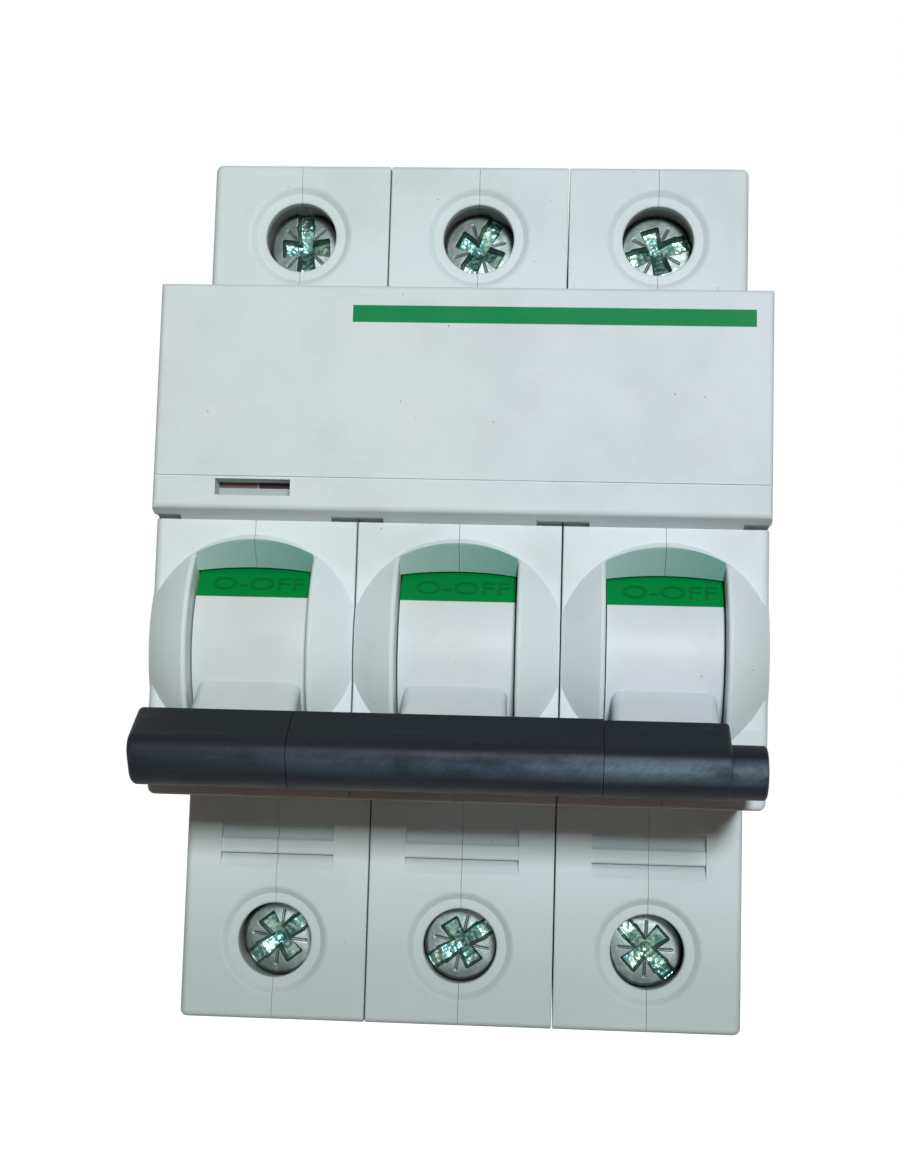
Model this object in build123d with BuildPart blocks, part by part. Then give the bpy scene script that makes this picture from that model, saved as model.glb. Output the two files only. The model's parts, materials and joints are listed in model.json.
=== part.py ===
from build123d import *
import os
from math import asin, cos, degrees, radians, sin, sqrt

# Three-pole miniature circuit breaker for a 35 mm rail, as an assembly of separate pieces.
# Millimetres. X runs across the poles, the front faces -Y and Z is up.
# The origin lies on the rail seat plane, at the middle of the nose's height and of the width.
# The breaker is shown switched off, with its terminals open and nothing tripped.

# ------------------------------------------------------------------ clearances
running_gap = 0.3  # between pieces that move past each other
pin_clearance = 0.05  # radial, a pin or a shaft in its hole
pole_gap = 0.12  # between neighbouring poles
seam_gap = 0.04  # between the two half shells of a pole

# ------------------------------------------------------------------ case outline
pole_count = 3
pole_pitch = 18.0
case_top = 41.0
case_bottom = -44.0
case_rear = 5.5
shoulder_front = -44.0
nose_half = 22.5
nose_front = -63.4
crease_z = -15.6  # below this the nose's front leans back
crease_lean = 1.0
side_wall = 1.6
edge_wall = 1.8
corner_round = 0.5
end_round = 0.7  # outer long edges of the two end poles
pole_round = 0.15  # long edges between poles

# ------------------------------------------------------------------ rail seat and clip
rail_width = 35.0
rail_play = 0.15
rail_slot = 1.3
rail_lip = 1.3
rail_relief = 0.2
rail_lip_depth = 2.2
clip_half_width = 6.0
clip_rib_half_width = 4.2
clip_thickness = 3.0
clip_foot = 0.8  # the clip ends this far above the case's bottom
clip_travel = 3.0

# ------------------------------------------------------------------ front cover
cover_thickness = 2.1
cover_bottom = 1.7
cover_bevel = 0.8
cover_groove_z = 5.25
cover_groove = 0.16
cover_notch_width = 4.6
cover_notch_height = 0.35
cover_notch_pocket = 1.2  # how far the case's front is sunk behind a notch
peg_radius = 1.2
peg_length = 3.2
window_width = 6.6
window_height = 1.45
window_bottom = 3.6
window_offset = -0.1  # from the middle of the left pole
flag_thickness = 1.0
flag_travel = 1.5
flag_lap = 0.1  # the flag reaches this far past the window, at either end of its travel
flag_end_gap = 0.2  # left under the flag when it is down
flag_stem_radius = 0.7

# ------------------------------------------------------------------ switch well and dome
toggle_axis_y = -55.4
toggle_axis_z = -9.0
drum_radius = 9.0
drum_half_width = 5.03
drum_side_gap = 0.15  # between the drum's flat sides and the well's
dome_overhang = 0.5  # the dome's base circle would reach this far past the pole's sides
dome_height = 4.5
lip_round = 0.3
well_top = 0.3
well_top_slope = 1.1
well_top_sagitta = 0.85
well_bottom = -18.4
well_bottom_slope = 0.7
well_bottom_sagitta = 1.0
well_lip_y = -64.3  # where the well's top and bottom heights are measured

# ------------------------------------------------------------------ toggle and handle bar
lever_angle = 35.0  # below the horizontal, switched off
toggle_travel = 64.0
lever_step = 0.53  # the lever is this much narrower than the drum, each side
lever_edge_round = 0.8
lever_root_half = 2.0
lever_tip_half = 1.7
lever_reach = 18.2
drum_top_angle = 75.0  # above the horizontal
drum_bottom_angle = 142.0  # below the horizontal
hub_radius = 4.6
trunnion_radius = 1.5
trunnion_boss_radius = 2.5
crank_radius = 3.5
crank_angle = 35.0  # above the horizontal, to the rear, switched off
band_start = 25.7
band_end = 48.5
band_depth = 0.45
band_proud = 0.04
cap_inner = 14.2
cap_outer = 19.9
cap_upper = 2.62
cap_right_upper = 2.5
cap_lower = 2.55
cap_left_reach = 8.5  # of the bar's left end, from the middle of its pole
cap_left_seam_wall = 0.2  # beyond the left lever's flank
cap_right_seam_wall = 0.8  # beyond the right lever's inner flank
cap_right_end_wall = 0.6  # beyond the right lever's outer flank
cap_seam_gap = 0.06
cap_back_round = 0.4
cap_nose_round = 1.5
cap_belly_round = 2.2
cap_end_round = 0.3
tail_end_reach = 8.05  # of the tail's end, from the middle of its pole
tail_radius = 2.25
tail_reach = 17.6
tail_drop = 0.25
tie_rod_radius = 0.8
tie_rod_reach = 16.6
tie_rod_end_wall = 1.2

# ------------------------------------------------------------------ terminals
line_screw_inset = 7.4  # below the case's top
load_screw_inset = 7.5  # above the case's bottom
access_ring_width = 1.55  # of the sunk ring round the access bore, with its sloping edge
access_ring_slope = 0.6  # of that width, the sloping edge
access_ring_depth = 0.45
access_ring_round = 0.6
access_lip_round = 0.2
access_wall = 1.1  # the access bore's length; behind it the room is wider
access_gap = 0.15  # between the bore's edge and the head's, seen from the front
access_room_gap = 0.5  # round the screw's head
access_boss_wall = 1.6
screw_recess = 4.0
screw_head_radius = 3.4
screw_head_height = 3.0
screw_head_chamfer = 0.25
screw_shank_radius = 2.5
screw_point_chamfer = 0.5
screw_pitch = 0.8
screw_turns = 8
screw_slot_turn = 35.0  # degrees, of the open slot
screw_slot_width = 1.1
screw_cross_length = 4.4
screw_slot_depth = 1.3
screw_notch_length = 3.9
screw_notch_width = 0.45
screw_notch_depth = 0.4
strap_half_width = 3.5
strap_thickness = 2.0
cage_half_width = 5.0
cage_length = 9.6
cage_wall = 1.2
cage_front_wall = 2.5
cage_rear_wall = 1.6
cage_round = 1.0
cage_inner_round = 0.5
clamp_closed = 0.8  # left of the clamp's opening when the screw is home
shank_length = 12.5
entry_half_width = 4.2
entry_depth = 8.2
entry_round = 1.5
entry_frame = 1.0
entry_frame_depth = 0.5
entry_rear_gap = 0.2
strap_end_gap = 0.6  # a strap stops this far inside the cage's far end
vent_count = 2
vent_pitch = 1.9
vent_width = 0.9
vent_length = 10.0
vent_round = 0.4

# ------------------------------------------------------------------ label recess
label_width = 11.0
label_gap = 2.8  # below the nose
label_height = 4.3
label_depth = 0.95
label_bar_depth = 0.3
label_bar_step = 0.3  # from the bar's face down to the upper pocket
label_bar_round = 0.25
label_bar_top = 0.34  # shares of the recess's height, from its top
label_bar_bottom = 0.68

# ------------------------------------------------------------------ rivets (y, z)
rivet_radius = 1.5
rivet_boss_radius = 2.6
rivet_boss_bite = 0.4  # a boss that stands against a wall runs this far into it
nose_rivets_y = (-50.0, -46.4)  # the upper one, the lower one
inner_rivet = (-8.0, 22.0)
rivet_head_radius = 2.4
rivet_head_height = 0.9

# ------------------------------------------------------------------ outer sides
accessory_seat_radius = 3.2
accessory_seat_depth = 0.5
accessory_slot_y = -26.0
accessory_slot_insets = (10.0, 11.0)  # from the case's top, from its bottom
accessory_slot_size = (2.4, 7.0)
accessory_slot_round = 0.6

# ------------------------------------------------------------------ contact mechanism
arm_pivot_y = -34.0
arm_pivot_z = 0.0
arm_front = 12.0
arm_rear = 14.0
arm_half_height = 1.2
arm_half_width = 1.4
arm_eye_radius = 2.6
arm_eye_wall = 1.0  # round the open eye at the arm's front end
arm_pin_radius = 1.25
arm_boss_radius = 2.2
link_wire_radius = 0.6
link_bend_radius = 0.7
link_depth = 2.0  # of the wire's end in the drum's side
link_slot_play = 0.9  # the open pivot's play in the arm's front eye
tip_width = 4.0
tip_length = 4.0
tip_thickness = 0.9
contact_gap_closed = 0.3
tip_round = 0.6
fixed_strap_thickness = 1.4
fixed_strap_foot = 3.2  # longer than the tip
fixed_strap_offset = 0.4  # of the foot's middle behind the tip's
fixed_leg_gap = 1.2  # from the tip's front edge to the leg's front
contact_half_width = 2.6
contact_spring_y = -38.2
contact_spring_bottom = -8.0
contact_spring_top = -2.4
contact_spring_radius = 1.0
contact_spring_wire = 0.25
contact_spring_turns = 5
toggle_spring_wire = 0.22
toggle_spring_turns = 2.5
braid_radius = 0.7
braid_drop = 7.0  # of its root below the bimetal's top
braid_reach = 5.0
braid_bend = 2.0
braid_arm_place = 5.0  # behind the arm's pivot
braid_rise = 1.5

# ------------------------------------------------------------------ magnetic and thermal release
coil_y = -35.0
coil_bottom = 10.2
coil_turns = 5
coil_pitch = 2.0
coil_radius = 4.3
coil_wire_radius = 0.8
coil_lead_rise = 0.9  # of a strap's lead at the coil's end
coil_lead_thickness = 1.2
bobbin_radius = 3.2
bobbin_flange_radius = 5.6
bobbin_flange = 0.8
plunger_radius = 1.4
plunger_travel = 1.2
plunger_chamfer = 0.4
yoke_thickness = 1.2
yoke_half_width = 3.4
yoke_gap = 0.1  # in front of the bobbin's flange
yoke_overhang = 2.0  # behind the coil's axis
trip_bar_y = -40.6
trip_bar_z = 6.2
trip_bar_radius = 1.5
trip_finger_thickness = 1.2
trip_finger_half_width = 2.0
trip_arm_half_width = 0.8
trip_arm_offset = 2.0  # of the hanging arm in front of the bar's axis
trip_arm_lap = 2.0  # the arm hangs this far past the bimetal's top
bimetal_y = -40.6
bimetal_thickness = 0.9
bimetal_half_width = 2.0
bimetal_x = 3.6
bimetal_top = -5.0
bimetal_bottom = -25.0
bimetal_lead = 1.6  # thickness of the load strap's lead to the bimetal
calibration_radius = 0.9
calibration_rise = 1.2  # above the bimetal's lower end

# ------------------------------------------------------------------ arc chute
chute_front = -15.6
chute_rear = -2.1
chute_half_width = 5.6
chute_plate = 0.9
chute_pitch = 2.0
chute_plates = 9
chute_bottom = -14.6
chute_card = 0.6
chute_notch = 6.0

# ------------------------------------------------------------------ worked-out places
pole_centres = [(i - (pole_count - 1) / 2) * pole_pitch for i in range(pole_count)]
half_width = pole_pitch / 2 - pole_gap / 2
outside = pole_centres[-1] + half_width
seam = seam_gap / 2
inner_half = half_width - side_wall
rail_top = rail_width / 2 + rail_play
rail_bottom = -rail_width / 2 - 2 * rail_play
hook_tip = rail_top - rail_play - rail_lip
clip_tip = -rail_width / 2 + rail_lip
slot_front = -rail_relief
clip_front = case_rear - edge_wall - clip_thickness + 0.5
pocket_front = clip_front - running_gap
drum_clearance_radius = drum_radius + running_gap + pin_clearance
well_half_width = drum_half_width + drum_side_gap
lever_half_width = drum_half_width - lever_step
link_side_x = (drum_half_width + inner_half) / 2
dome_base_radius = half_width + dome_overhang
dome_sphere_radius = (dome_base_radius**2 + dome_height**2) / (2 * dome_height)
dome_centre_y = nose_front - dome_height + dome_sphere_radius
rivet_inset = edge_wall + rivet_boss_radius - rivet_boss_bite
rivet_places = [
    (case_rear - rivet_inset, case_top - rivet_inset),
    (-rivet_inset, case_bottom + rivet_inset),
    (nose_rivets_y[0], nose_half - rivet_inset),
    (nose_rivets_y[1], -nose_half + rivet_inset),
    inner_rivet,
]
cap_left_end = pole_centres[0] - cap_left_reach
cap_left_seam = pole_centres[0] + lever_half_width + cap_left_seam_wall
cap_right_seam = pole_centres[-1] - lever_half_width - cap_right_seam_wall
cap_right_end = pole_centres[-1] + lever_half_width + cap_right_end_wall
tail_end = pole_centres[-1] + tail_end_reach
tie_rod_end = -cap_left_end - tie_rod_end_wall
line_screw_z = case_top - line_screw_inset
load_screw_z = case_bottom + load_screw_inset
access_radius = screw_head_radius + access_gap
access_ring_radius = access_radius + access_ring_width
access_room_radius = screw_head_radius + access_room_gap
access_room_front = shoulder_front + access_ring_depth + access_wall
head_front = shoulder_front + screw_recess
head_rear = head_front + screw_head_height
screw_tip = head_rear + shank_length
strap_front = screw_tip + running_gap
strap_rear = strap_front + strap_thickness
cage_front = screw_tip - cage_front_wall
cage_inner_rear = strap_rear + clamp_closed + screw_pitch * screw_turns
cage_rear = cage_inner_rear + cage_rear_wall
entry_centre_y = strap_rear + entry_depth / 2 + entry_rear_gap
cover_front = nose_front - cover_thickness
contact_swing = 2 * degrees(asin(crank_radius * (sin(radians(crank_angle)) + sin(radians(
    toggle_travel - crank_angle))) / (2 * arm_front)))
arm_rest_tilt = contact_swing / 2  # the arm's front end stands this far up, switched off
terminals = {"line": (line_screw_z, 1), "load": (load_screw_z, -1)}
label_top = -nose_half - label_gap
label_bottom = label_top - label_height
flag_bottom = window_bottom - flag_lap
flag_height = window_height + flag_travel + 2 * flag_lap
flag_width = window_width + 4 * flag_lap
plunger_tip = trip_bar_z + plunger_travel + running_gap
accessory_slots = [
    (accessory_slot_y, case_top - accessory_slot_insets[0]),
    (accessory_slot_y, case_bottom + accessory_slot_insets[1]),
]

# A plane square to X through the toggle's axis: its x runs out along the lever, its y is upwards.
lever_plane = Plane(
    origin=(0, toggle_axis_y, toggle_axis_z),
    x_dir=(0, -cos(radians(lever_angle)), -sin(radians(lever_angle))),
    z_dir=(-1, 0, 0),
)


def front_plane(y):
    """A plane facing the front at depth y: its x is X and its y is Z."""
    return Plane(origin=(0, y, 0), x_dir=(1, 0, 0), z_dir=(0, -1, 0))


def drum_point(angle, radius):
    """A point of the Y-Z plane on a circle about the toggle's axis; 0 degrees faces the front."""
    turn = radians(angle)
    return (toggle_axis_y - radius * cos(turn), toggle_axis_z + radius * sin(turn))


def arm_point(along, up=0.0):
    """A point of the Y-Z plane fixed to the contact arm; along is positive to the rear."""
    tilt = radians(arm_rest_tilt)
    return (
        arm_pivot_y + along * cos(tilt) + up * sin(tilt),
        arm_pivot_z - along * sin(tilt) + up * cos(tilt),
    )


def at_every_pole(piece):
    """The same piece at the middle of each pole, as separate solids of one group."""
    with BuildPart() as group:
        with Locations(*[(x, 0, 0) for x in pole_centres]):
            add(piece)
    return group.part


def save(piece, name):
    """Label a finished piece and write its STEP file."""
    piece.label = name
    export_step(piece, f"parts/{name}.step")


# ------------------------------------------------------------------ case
def half_shell(is_end, has_window):
    """The half of one pole's case on the +X side of its seam.

    is_end: this side is an outer side of the breaker. has_window: the indicator lies in it.
    """
    with BuildPart() as shell:
        with BuildSketch(Plane.YZ.offset(seam)):
            with BuildLine():
                Polyline(
                    (case_rear, case_top),
                    (case_rear, hook_tip),
                    (rail_slot, hook_tip),
                    (rail_slot, rail_top),
                    (slot_front, rail_top),
                    (slot_front, hook_tip - running_gap),
                    (0, hook_tip - running_gap),
                    (0, clip_tip + running_gap),
                    (slot_front, clip_tip + running_gap),
                    (slot_front, rail_bottom),
                    (case_rear, rail_bottom),
                    (case_rear, case_bottom),
                    (shoulder_front, case_bottom),
                    (shoulder_front, -nose_half),
                    (nose_front + crease_lean, -nose_half),
                    (nose_front, crease_z),
                    (nose_front, nose_half),
                    (shoulder_front, nose_half),
                    (shoulder_front, case_top),
                    close=True,
                )
            make_face()
        extrude(amount=half_width - seam)

        # Rounded corners of the outline, then the long edges of the side that shows.
        outline_corners = shell.edges().filter_by(Axis.X).filter_by(
            lambda e: e.center().Y < nose_front + 2 * crease_lean or abs(e.center().Z) > case_top - 1
        )
        fillet(outline_corners, corner_round)
        side_face = shell.faces().sort_by(Axis.X)[-1]
        fillet(side_face.edges(), end_round if is_end else pole_round)

        # The dome is a spherical cap that the pole's own sides cut off.
        with Locations((0, dome_centre_y, toggle_axis_z)):
            Sphere(dome_sphere_radius)
        with BuildSketch(Plane.YZ.offset(half_width)):
            with Locations((nose_front, 0)):
                Rectangle(4 * dome_sphere_radius, 4 * nose_half)
        extrude(amount=2 * dome_sphere_radius, mode=Mode.SUBTRACT)
        with BuildSketch(Plane.YZ.offset(seam)):
            with Locations((nose_front, 0)):
                Rectangle(4 * dome_sphere_radius, 4 * nose_half)
        extrude(amount=-2 * dome_sphere_radius, mode=Mode.SUBTRACT)

        # Cavity
        with BuildSketch(Plane.YZ):
            with BuildLine():
                Polyline(
                    (case_rear - edge_wall, case_top - edge_wall),
                    (case_rear - edge_wall, rail_top + edge_wall),
                    (-edge_wall, rail_top + edge_wall),
                    (-edge_wall, case_bottom + edge_wall),
                    (shoulder_front + edge_wall, case_bottom + edge_wall),
                    (shoulder_front + edge_wall, -nose_half + edge_wall),
                    (nose_front + crease_lean + edge_wall, -nose_half + edge_wall),
                    (nose_front + edge_wall, crease_z),
                    (nose_front + edge_wall, nose_half - edge_wall),
                    (shoulder_front + edge_wall, nose_half - edge_wall),
                    (shoulder_front + edge_wall, case_top - edge_wall),
                    close=True,
                )
            make_face()
        extrude(amount=inner_half, mode=Mode.SUBTRACT)

        # Bosses for the rivets and for the toggle's trunnion, and the terminal rooms' walls
        with BuildSketch(Plane.YZ.offset(seam)):
            with Locations(*rivet_places):
                Circle(rivet_boss_radius)
        extrude(amount=half_width - seam - side_wall / 2)
        with BuildSketch(Plane.YZ.offset(well_half_width)):
            with Locations((toggle_axis_y, toggle_axis_z)):
                Circle(trunnion_boss_radius)
        extrude(amount=half_width - well_half_width - side_wall / 2)
        with BuildSketch(Plane.YZ.offset(arm_half_width + running_gap)):
            with Locations((arm_pivot_y, arm_pivot_z)):
                Circle(arm_boss_radius)
        extrude(amount=half_width - arm_half_width - running_gap - side_wall / 2)
        spring_ledge_top = contact_spring_bottom - contact_spring_wire - pin_clearance
        with BuildSketch(Plane.XY.offset(spring_ledge_top)):
            with Locations((half_width / 2, contact_spring_y)):
                Rectangle(half_width - side_wall / 2, 2 * contact_spring_radius + 0.6)
        extrude(amount=-edge_wall)
        for screw_z, side in terminals.values():
            room_edge = screw_z - side * (cage_length / 2 + running_gap + cage_wall / 2)
            with BuildSketch(Plane.YZ.offset(seam)):
                with Locations(((shoulder_front - edge_wall) / 2, room_edge)):
                    Rectangle(-shoulder_front - edge_wall, cage_wall)
                with Locations(((strap_front + strap_rear) / 2, room_edge)):
                    Rectangle(strap_thickness + 2 * running_gap, 2 * cage_wall, mode=Mode.SUBTRACT)
            extrude(amount=inner_half + side_wall / 2)
            guide_x = cage_half_width + running_gap
            with BuildSketch(Plane.YZ.offset(guide_x)):
                with Locations(((strap_front + cage_rear) / 2, screw_z)):
                    Rectangle(cage_rear - head_rear, cage_length / 3)
            extrude(amount=inner_half + side_wall / 2 - guide_x)
            with BuildSketch(front_plane(shoulder_front + edge_wall)):
                with Locations((0, screw_z)):
                    Circle(access_room_radius + access_boss_wall)
            extrude(amount=head_rear - shoulder_front - edge_wall, dir=(0, 1, 0))

        # What those bosses put past the seam is cut away again.
        with BuildSketch(Plane.YZ.offset(seam)):
            Rectangle(6 * nose_half, 6 * nose_half)
        extrude(amount=-pole_pitch, mode=Mode.SUBTRACT)

        # Switch well: two slanted prisms, then room for the drum
        front_start = well_lip_y - drum_radius / 2
        run = well_lip_y - front_start
        with BuildSketch(front_plane(front_start)):
            with BuildLine():
                crown = well_top + well_top_slope * run
                arch = ThreePointArc(
                    (-well_half_width, crown - well_top_sagitta),
                    (0, crown),
                    (well_half_width, crown - well_top_sagitta),
                )
                Polyline(
                    arch @ 1,
                    (well_half_width, toggle_axis_z),
                    (-well_half_width, toggle_axis_z),
                    arch @ 0,
                )
            make_face()
        extrude(
            amount=2 * run * sqrt(1 + well_top_slope**2),
            dir=(0, 1, -well_top_slope),
            mode=Mode.SUBTRACT,
        )
        with BuildSketch(front_plane(front_start)):
            with BuildLine():
                sole = well_bottom - well_bottom_slope * run
                dish = ThreePointArc(
                    (-well_half_width, sole + well_bottom_sagitta),
                    (0, sole),
                    (well_half_width, sole + well_bottom_sagitta),
                )
                Polyline(
                    dish @ 1,
                    (well_half_width, toggle_axis_z),
                    (-well_half_width, toggle_axis_z),
                    dish @ 0,
                )
            make_face()
        extrude(
            amount=2 * run * sqrt(1 + well_bottom_slope**2),
            dir=(0, 1, well_bottom_slope),
            mode=Mode.SUBTRACT,
        )
        with BuildSketch(Plane.YZ):
            with Locations((toggle_axis_y, toggle_axis_z)):
                Circle(drum_clearance_radius)
        extrude(amount=well_half_width, mode=Mode.SUBTRACT)
        lip = shell.edges().filter_by(GeomType.CIRCLE).filter_by(
            lambda e: abs(e.center().X - well_half_width) < 0.01
            and abs(e.radius - sqrt(dome_sphere_radius**2 - well_half_width**2)) < 0.01
        )
        fillet(lip, lip_round)

        # Holes for the trunnion, the arm's pin, the rivets and, between poles, the trip bar
        with BuildSketch(Plane.YZ.offset(drum_half_width)):
            with Locations((toggle_axis_y, toggle_axis_z)):
                Circle(trunnion_radius + pin_clearance)
        extrude(amount=half_width - side_wall / 2 - drum_half_width, mode=Mode.SUBTRACT)
        with BuildSketch(Plane.YZ):
            with Locations((arm_pivot_y, arm_pivot_z)):
                Circle(arm_pin_radius + pin_clearance)
        extrude(amount=inner_half, mode=Mode.SUBTRACT)
        with BuildSketch(Plane.YZ):
            with Locations(*rivet_places):
                Circle(rivet_radius + pin_clearance)
            if not is_end:
                with Locations((trip_bar_y, trip_bar_z)):
                    Circle(trip_bar_radius + pin_clearance)
        extrude(amount=half_width, mode=Mode.SUBTRACT)
        if is_end:
            with BuildSketch(Plane.YZ.offset(half_width)):
                with Locations(*rivet_places):
                    Circle(rivet_head_radius + pin_clearance)
            extrude(amount=-rivet_head_height - pin_clearance, mode=Mode.SUBTRACT)
            with BuildSketch(Plane.YZ.offset(inner_half)):
                with Locations((trip_bar_y, trip_bar_z)):
                    Circle(trip_bar_radius + pin_clearance)
            extrude(amount=side_wall / 2, mode=Mode.SUBTRACT)
            # Shallow seats on the outer side, where a switch or release unit can be clipped on
            with BuildSketch(Plane.YZ.offset(half_width)):
                with Locations((toggle_axis_y, toggle_axis_z), (trip_bar_y, trip_bar_z)):
                    Circle(accessory_seat_radius)
                with Locations(*accessory_slots):
                    RectangleRounded(*accessory_slot_size, accessory_slot_round)
            extrude(amount=-accessory_seat_depth, mode=Mode.SUBTRACT)

        # Screw access holes and cable entries
        for screw_z, side in terminals.values():
            with BuildSketch(Plane.XY.offset(screw_z)):
                with BuildLine():
                    Polyline(
                        (0, shoulder_front),
                        (access_ring_radius, shoulder_front),
                        (access_ring_radius - access_ring_slope, shoulder_front + access_ring_depth),
                        (0, shoulder_front + access_ring_depth),
                        close=True,
                    )
                make_face()
            revolve(axis=Axis((0, 0, screw_z), (0, 1, 0)), mode=Mode.SUBTRACT)
            ring_edge = shell.edges().filter_by(GeomType.CIRCLE).filter_by(
                lambda e: abs(e.radius - access_ring_radius) < 0.01
                and abs(e.center().Y - shoulder_front) < 0.01
                and abs(e.arc_center.Z - screw_z) < 0.1
            )
            fillet(ring_edge, access_ring_round)
            with BuildSketch(front_plane(shoulder_front)):
                with Locations((0, screw_z)):
                    Circle(access_radius)
            extrude(amount=shoulder_front - head_front, mode=Mode.SUBTRACT)
            lip_edge = shell.edges().filter_by(GeomType.CIRCLE).filter_by(
                lambda e: abs(e.radius - access_radius) < 0.01
                and abs(e.center().Y - shoulder_front - access_ring_depth) < 0.01
                and abs(e.arc_center.Z - screw_z) < 0.1
            )
            fillet(lip_edge, access_lip_round)
            with BuildSketch(front_plane(access_room_front)):
                with Locations((0, screw_z)):
                    Circle(access_room_radius)
            extrude(amount=access_room_front - head_rear - access_radius, mode=Mode.SUBTRACT)
            with BuildSketch(Plane.XY.offset(case_top if side > 0 else case_bottom)):
                with Locations((0, entry_centre_y)):
                    RectangleRounded(
                        2 * (entry_half_width + entry_frame),
                        entry_depth + 2 * entry_frame,
                        entry_round + entry_frame,
                    )
            extrude(amount=-side * entry_frame_depth, mode=Mode.SUBTRACT)
            with BuildSketch(Plane.XY.offset(case_top if side > 0 else case_bottom)):
                with Locations((0, entry_centre_y)):
                    RectangleRounded(2 * entry_half_width, entry_depth, entry_round)
                with Locations(*[(0, cage_rear + (i + 1) * vent_pitch) for i in range(vent_count)]):
                    RectangleRounded(vent_length, vent_width, vent_round)
            extrude(amount=-side * 1.5 * edge_wall, mode=Mode.SUBTRACT)

        # Label recess: a scooped pocket above, a sloping one below, and a sunk bar left between them
        bar_top = label_top - label_height * label_bar_top
        bar_bottom = label_top - label_height * label_bar_bottom
        with BuildSketch(Plane.YZ) as recess:
            with BuildLine():
                scoop = ThreePointArc(
                    (shoulder_front, label_top),
                    (shoulder_front + label_depth, (label_top + bar_top) / 2),
                    (shoulder_front + label_bar_depth + label_bar_step, bar_top),
                )
                Polyline(
                    scoop @ 1,
                    (shoulder_front + label_bar_depth, bar_top),
                    (shoulder_front + label_bar_depth, bar_bottom),
                    (shoulder_front + label_depth, bar_bottom),
                    (shoulder_front, label_bottom),
                    (shoulder_front - label_depth, label_bottom),
                    (shoulder_front - label_depth, label_top),
                    scoop @ 0,
                )
            make_face()
            bar_corners = recess.vertices().filter_by(
                lambda v: abs(v.X - shoulder_front - label_bar_depth) < 0.01
            )
            fillet(bar_corners, label_bar_round)
        extrude(amount=label_width / 2, mode=Mode.SUBTRACT)

        # Pocket of the rail clip: open at the rear and the bottom, with ledges that hold the clip in
        pocket_top = rail_bottom + clip_thickness
        pocket_height = pocket_top - case_bottom
        with BuildSketch(Plane.XZ.offset(-pocket_front)):
            with Locations((0, pocket_top - pocket_height / 2)):
                Rectangle(2 * (clip_half_width + running_gap), pocket_height)
        extrude(amount=-(clip_thickness + 2 * running_gap), mode=Mode.SUBTRACT)
        with BuildSketch(Plane.XZ.offset(-pocket_front)):
            with Locations((0, pocket_top - pocket_height / 2)):
                Rectangle(2 * (clip_rib_half_width + running_gap), pocket_height)
        extrude(amount=-2 * case_rear, mode=Mode.SUBTRACT)

        # Cover peg holes, pockets behind the cover's notches, the indicator's recess behind its window
        with BuildSketch(front_plane(nose_front)):
            with Locations(*peg_places()):
                Circle(peg_radius + pin_clearance)
        extrude(amount=-2 * edge_wall, mode=Mode.SUBTRACT)
        with BuildSketch(front_plane(nose_front)):
            with Locations((half_width, cover_bottom + cover_notch_height / 2)):
                Rectangle(cover_notch_width, cover_notch_height)
        extrude(amount=-cover_notch_pocket, mode=Mode.SUBTRACT)
        if has_window:
            recess_bottom = flag_bottom - flag_travel - flag_end_gap
            recess_top = flag_bottom + flag_height + running_gap
            with BuildSketch(front_plane(nose_front)):
                with Locations((0, (recess_bottom + recess_top) / 2)):
                    Rectangle(flag_width + 2 * running_gap, recess_top - recess_bottom)
            extrude(amount=-(flag_thickness + running_gap), mode=Mode.SUBTRACT)
            with BuildSketch(front_plane(nose_front)):
                with Locations((0, flag_bottom + flag_height / 2 - flag_travel / 2)):
                    SlotCenterToCenter(flag_travel, 2 * (flag_stem_radius + running_gap), rotation=90)
            extrude(amount=-2 * edge_wall, mode=Mode.SUBTRACT)
    return shell.part


def peg_places():
    """Places of the cover's pegs on one pole's front, as X and Z from the pole's middle."""
    x = half_width / 2
    return [(x, nose_half - 2.2 * peg_radius * 2), (-x, nose_half - 2.2 * peg_radius * 2)]


def make_case():
    """Six half shells, two to a pole, and the rivets that hold all of them together."""
    kinds = {}
    for number, centre in enumerate(pole_centres, start=1):
        for name, direction in (("left", -1), ("right", 1)):
            kind = (number == (1 if direction < 0 else pole_count), number == 1)
            if kind not in kinds:
                kinds[kind] = half_shell(*kind)
            half = kinds[kind] if direction > 0 else mirror(kinds[kind], about=Plane.YZ)
            save(Pos(centre, 0, 0) * half, f"pole_{number}_{name}_shell")

    with BuildPart() as rivets:
        with BuildSketch(Plane.YZ.offset(-outside + rivet_head_height)):
            with Locations(*rivet_places):
                Circle(rivet_radius)
        extrude(amount=2 * (outside - rivet_head_height))
        for start, direction in ((-outside, 1), (outside, -1)):
            with BuildSketch(Plane.YZ.offset(start)):
                with Locations(*rivet_places):
                    Circle(rivet_head_radius)
            extrude(amount=direction * rivet_head_height)
    save(rivets.part, "case_rivets")


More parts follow.
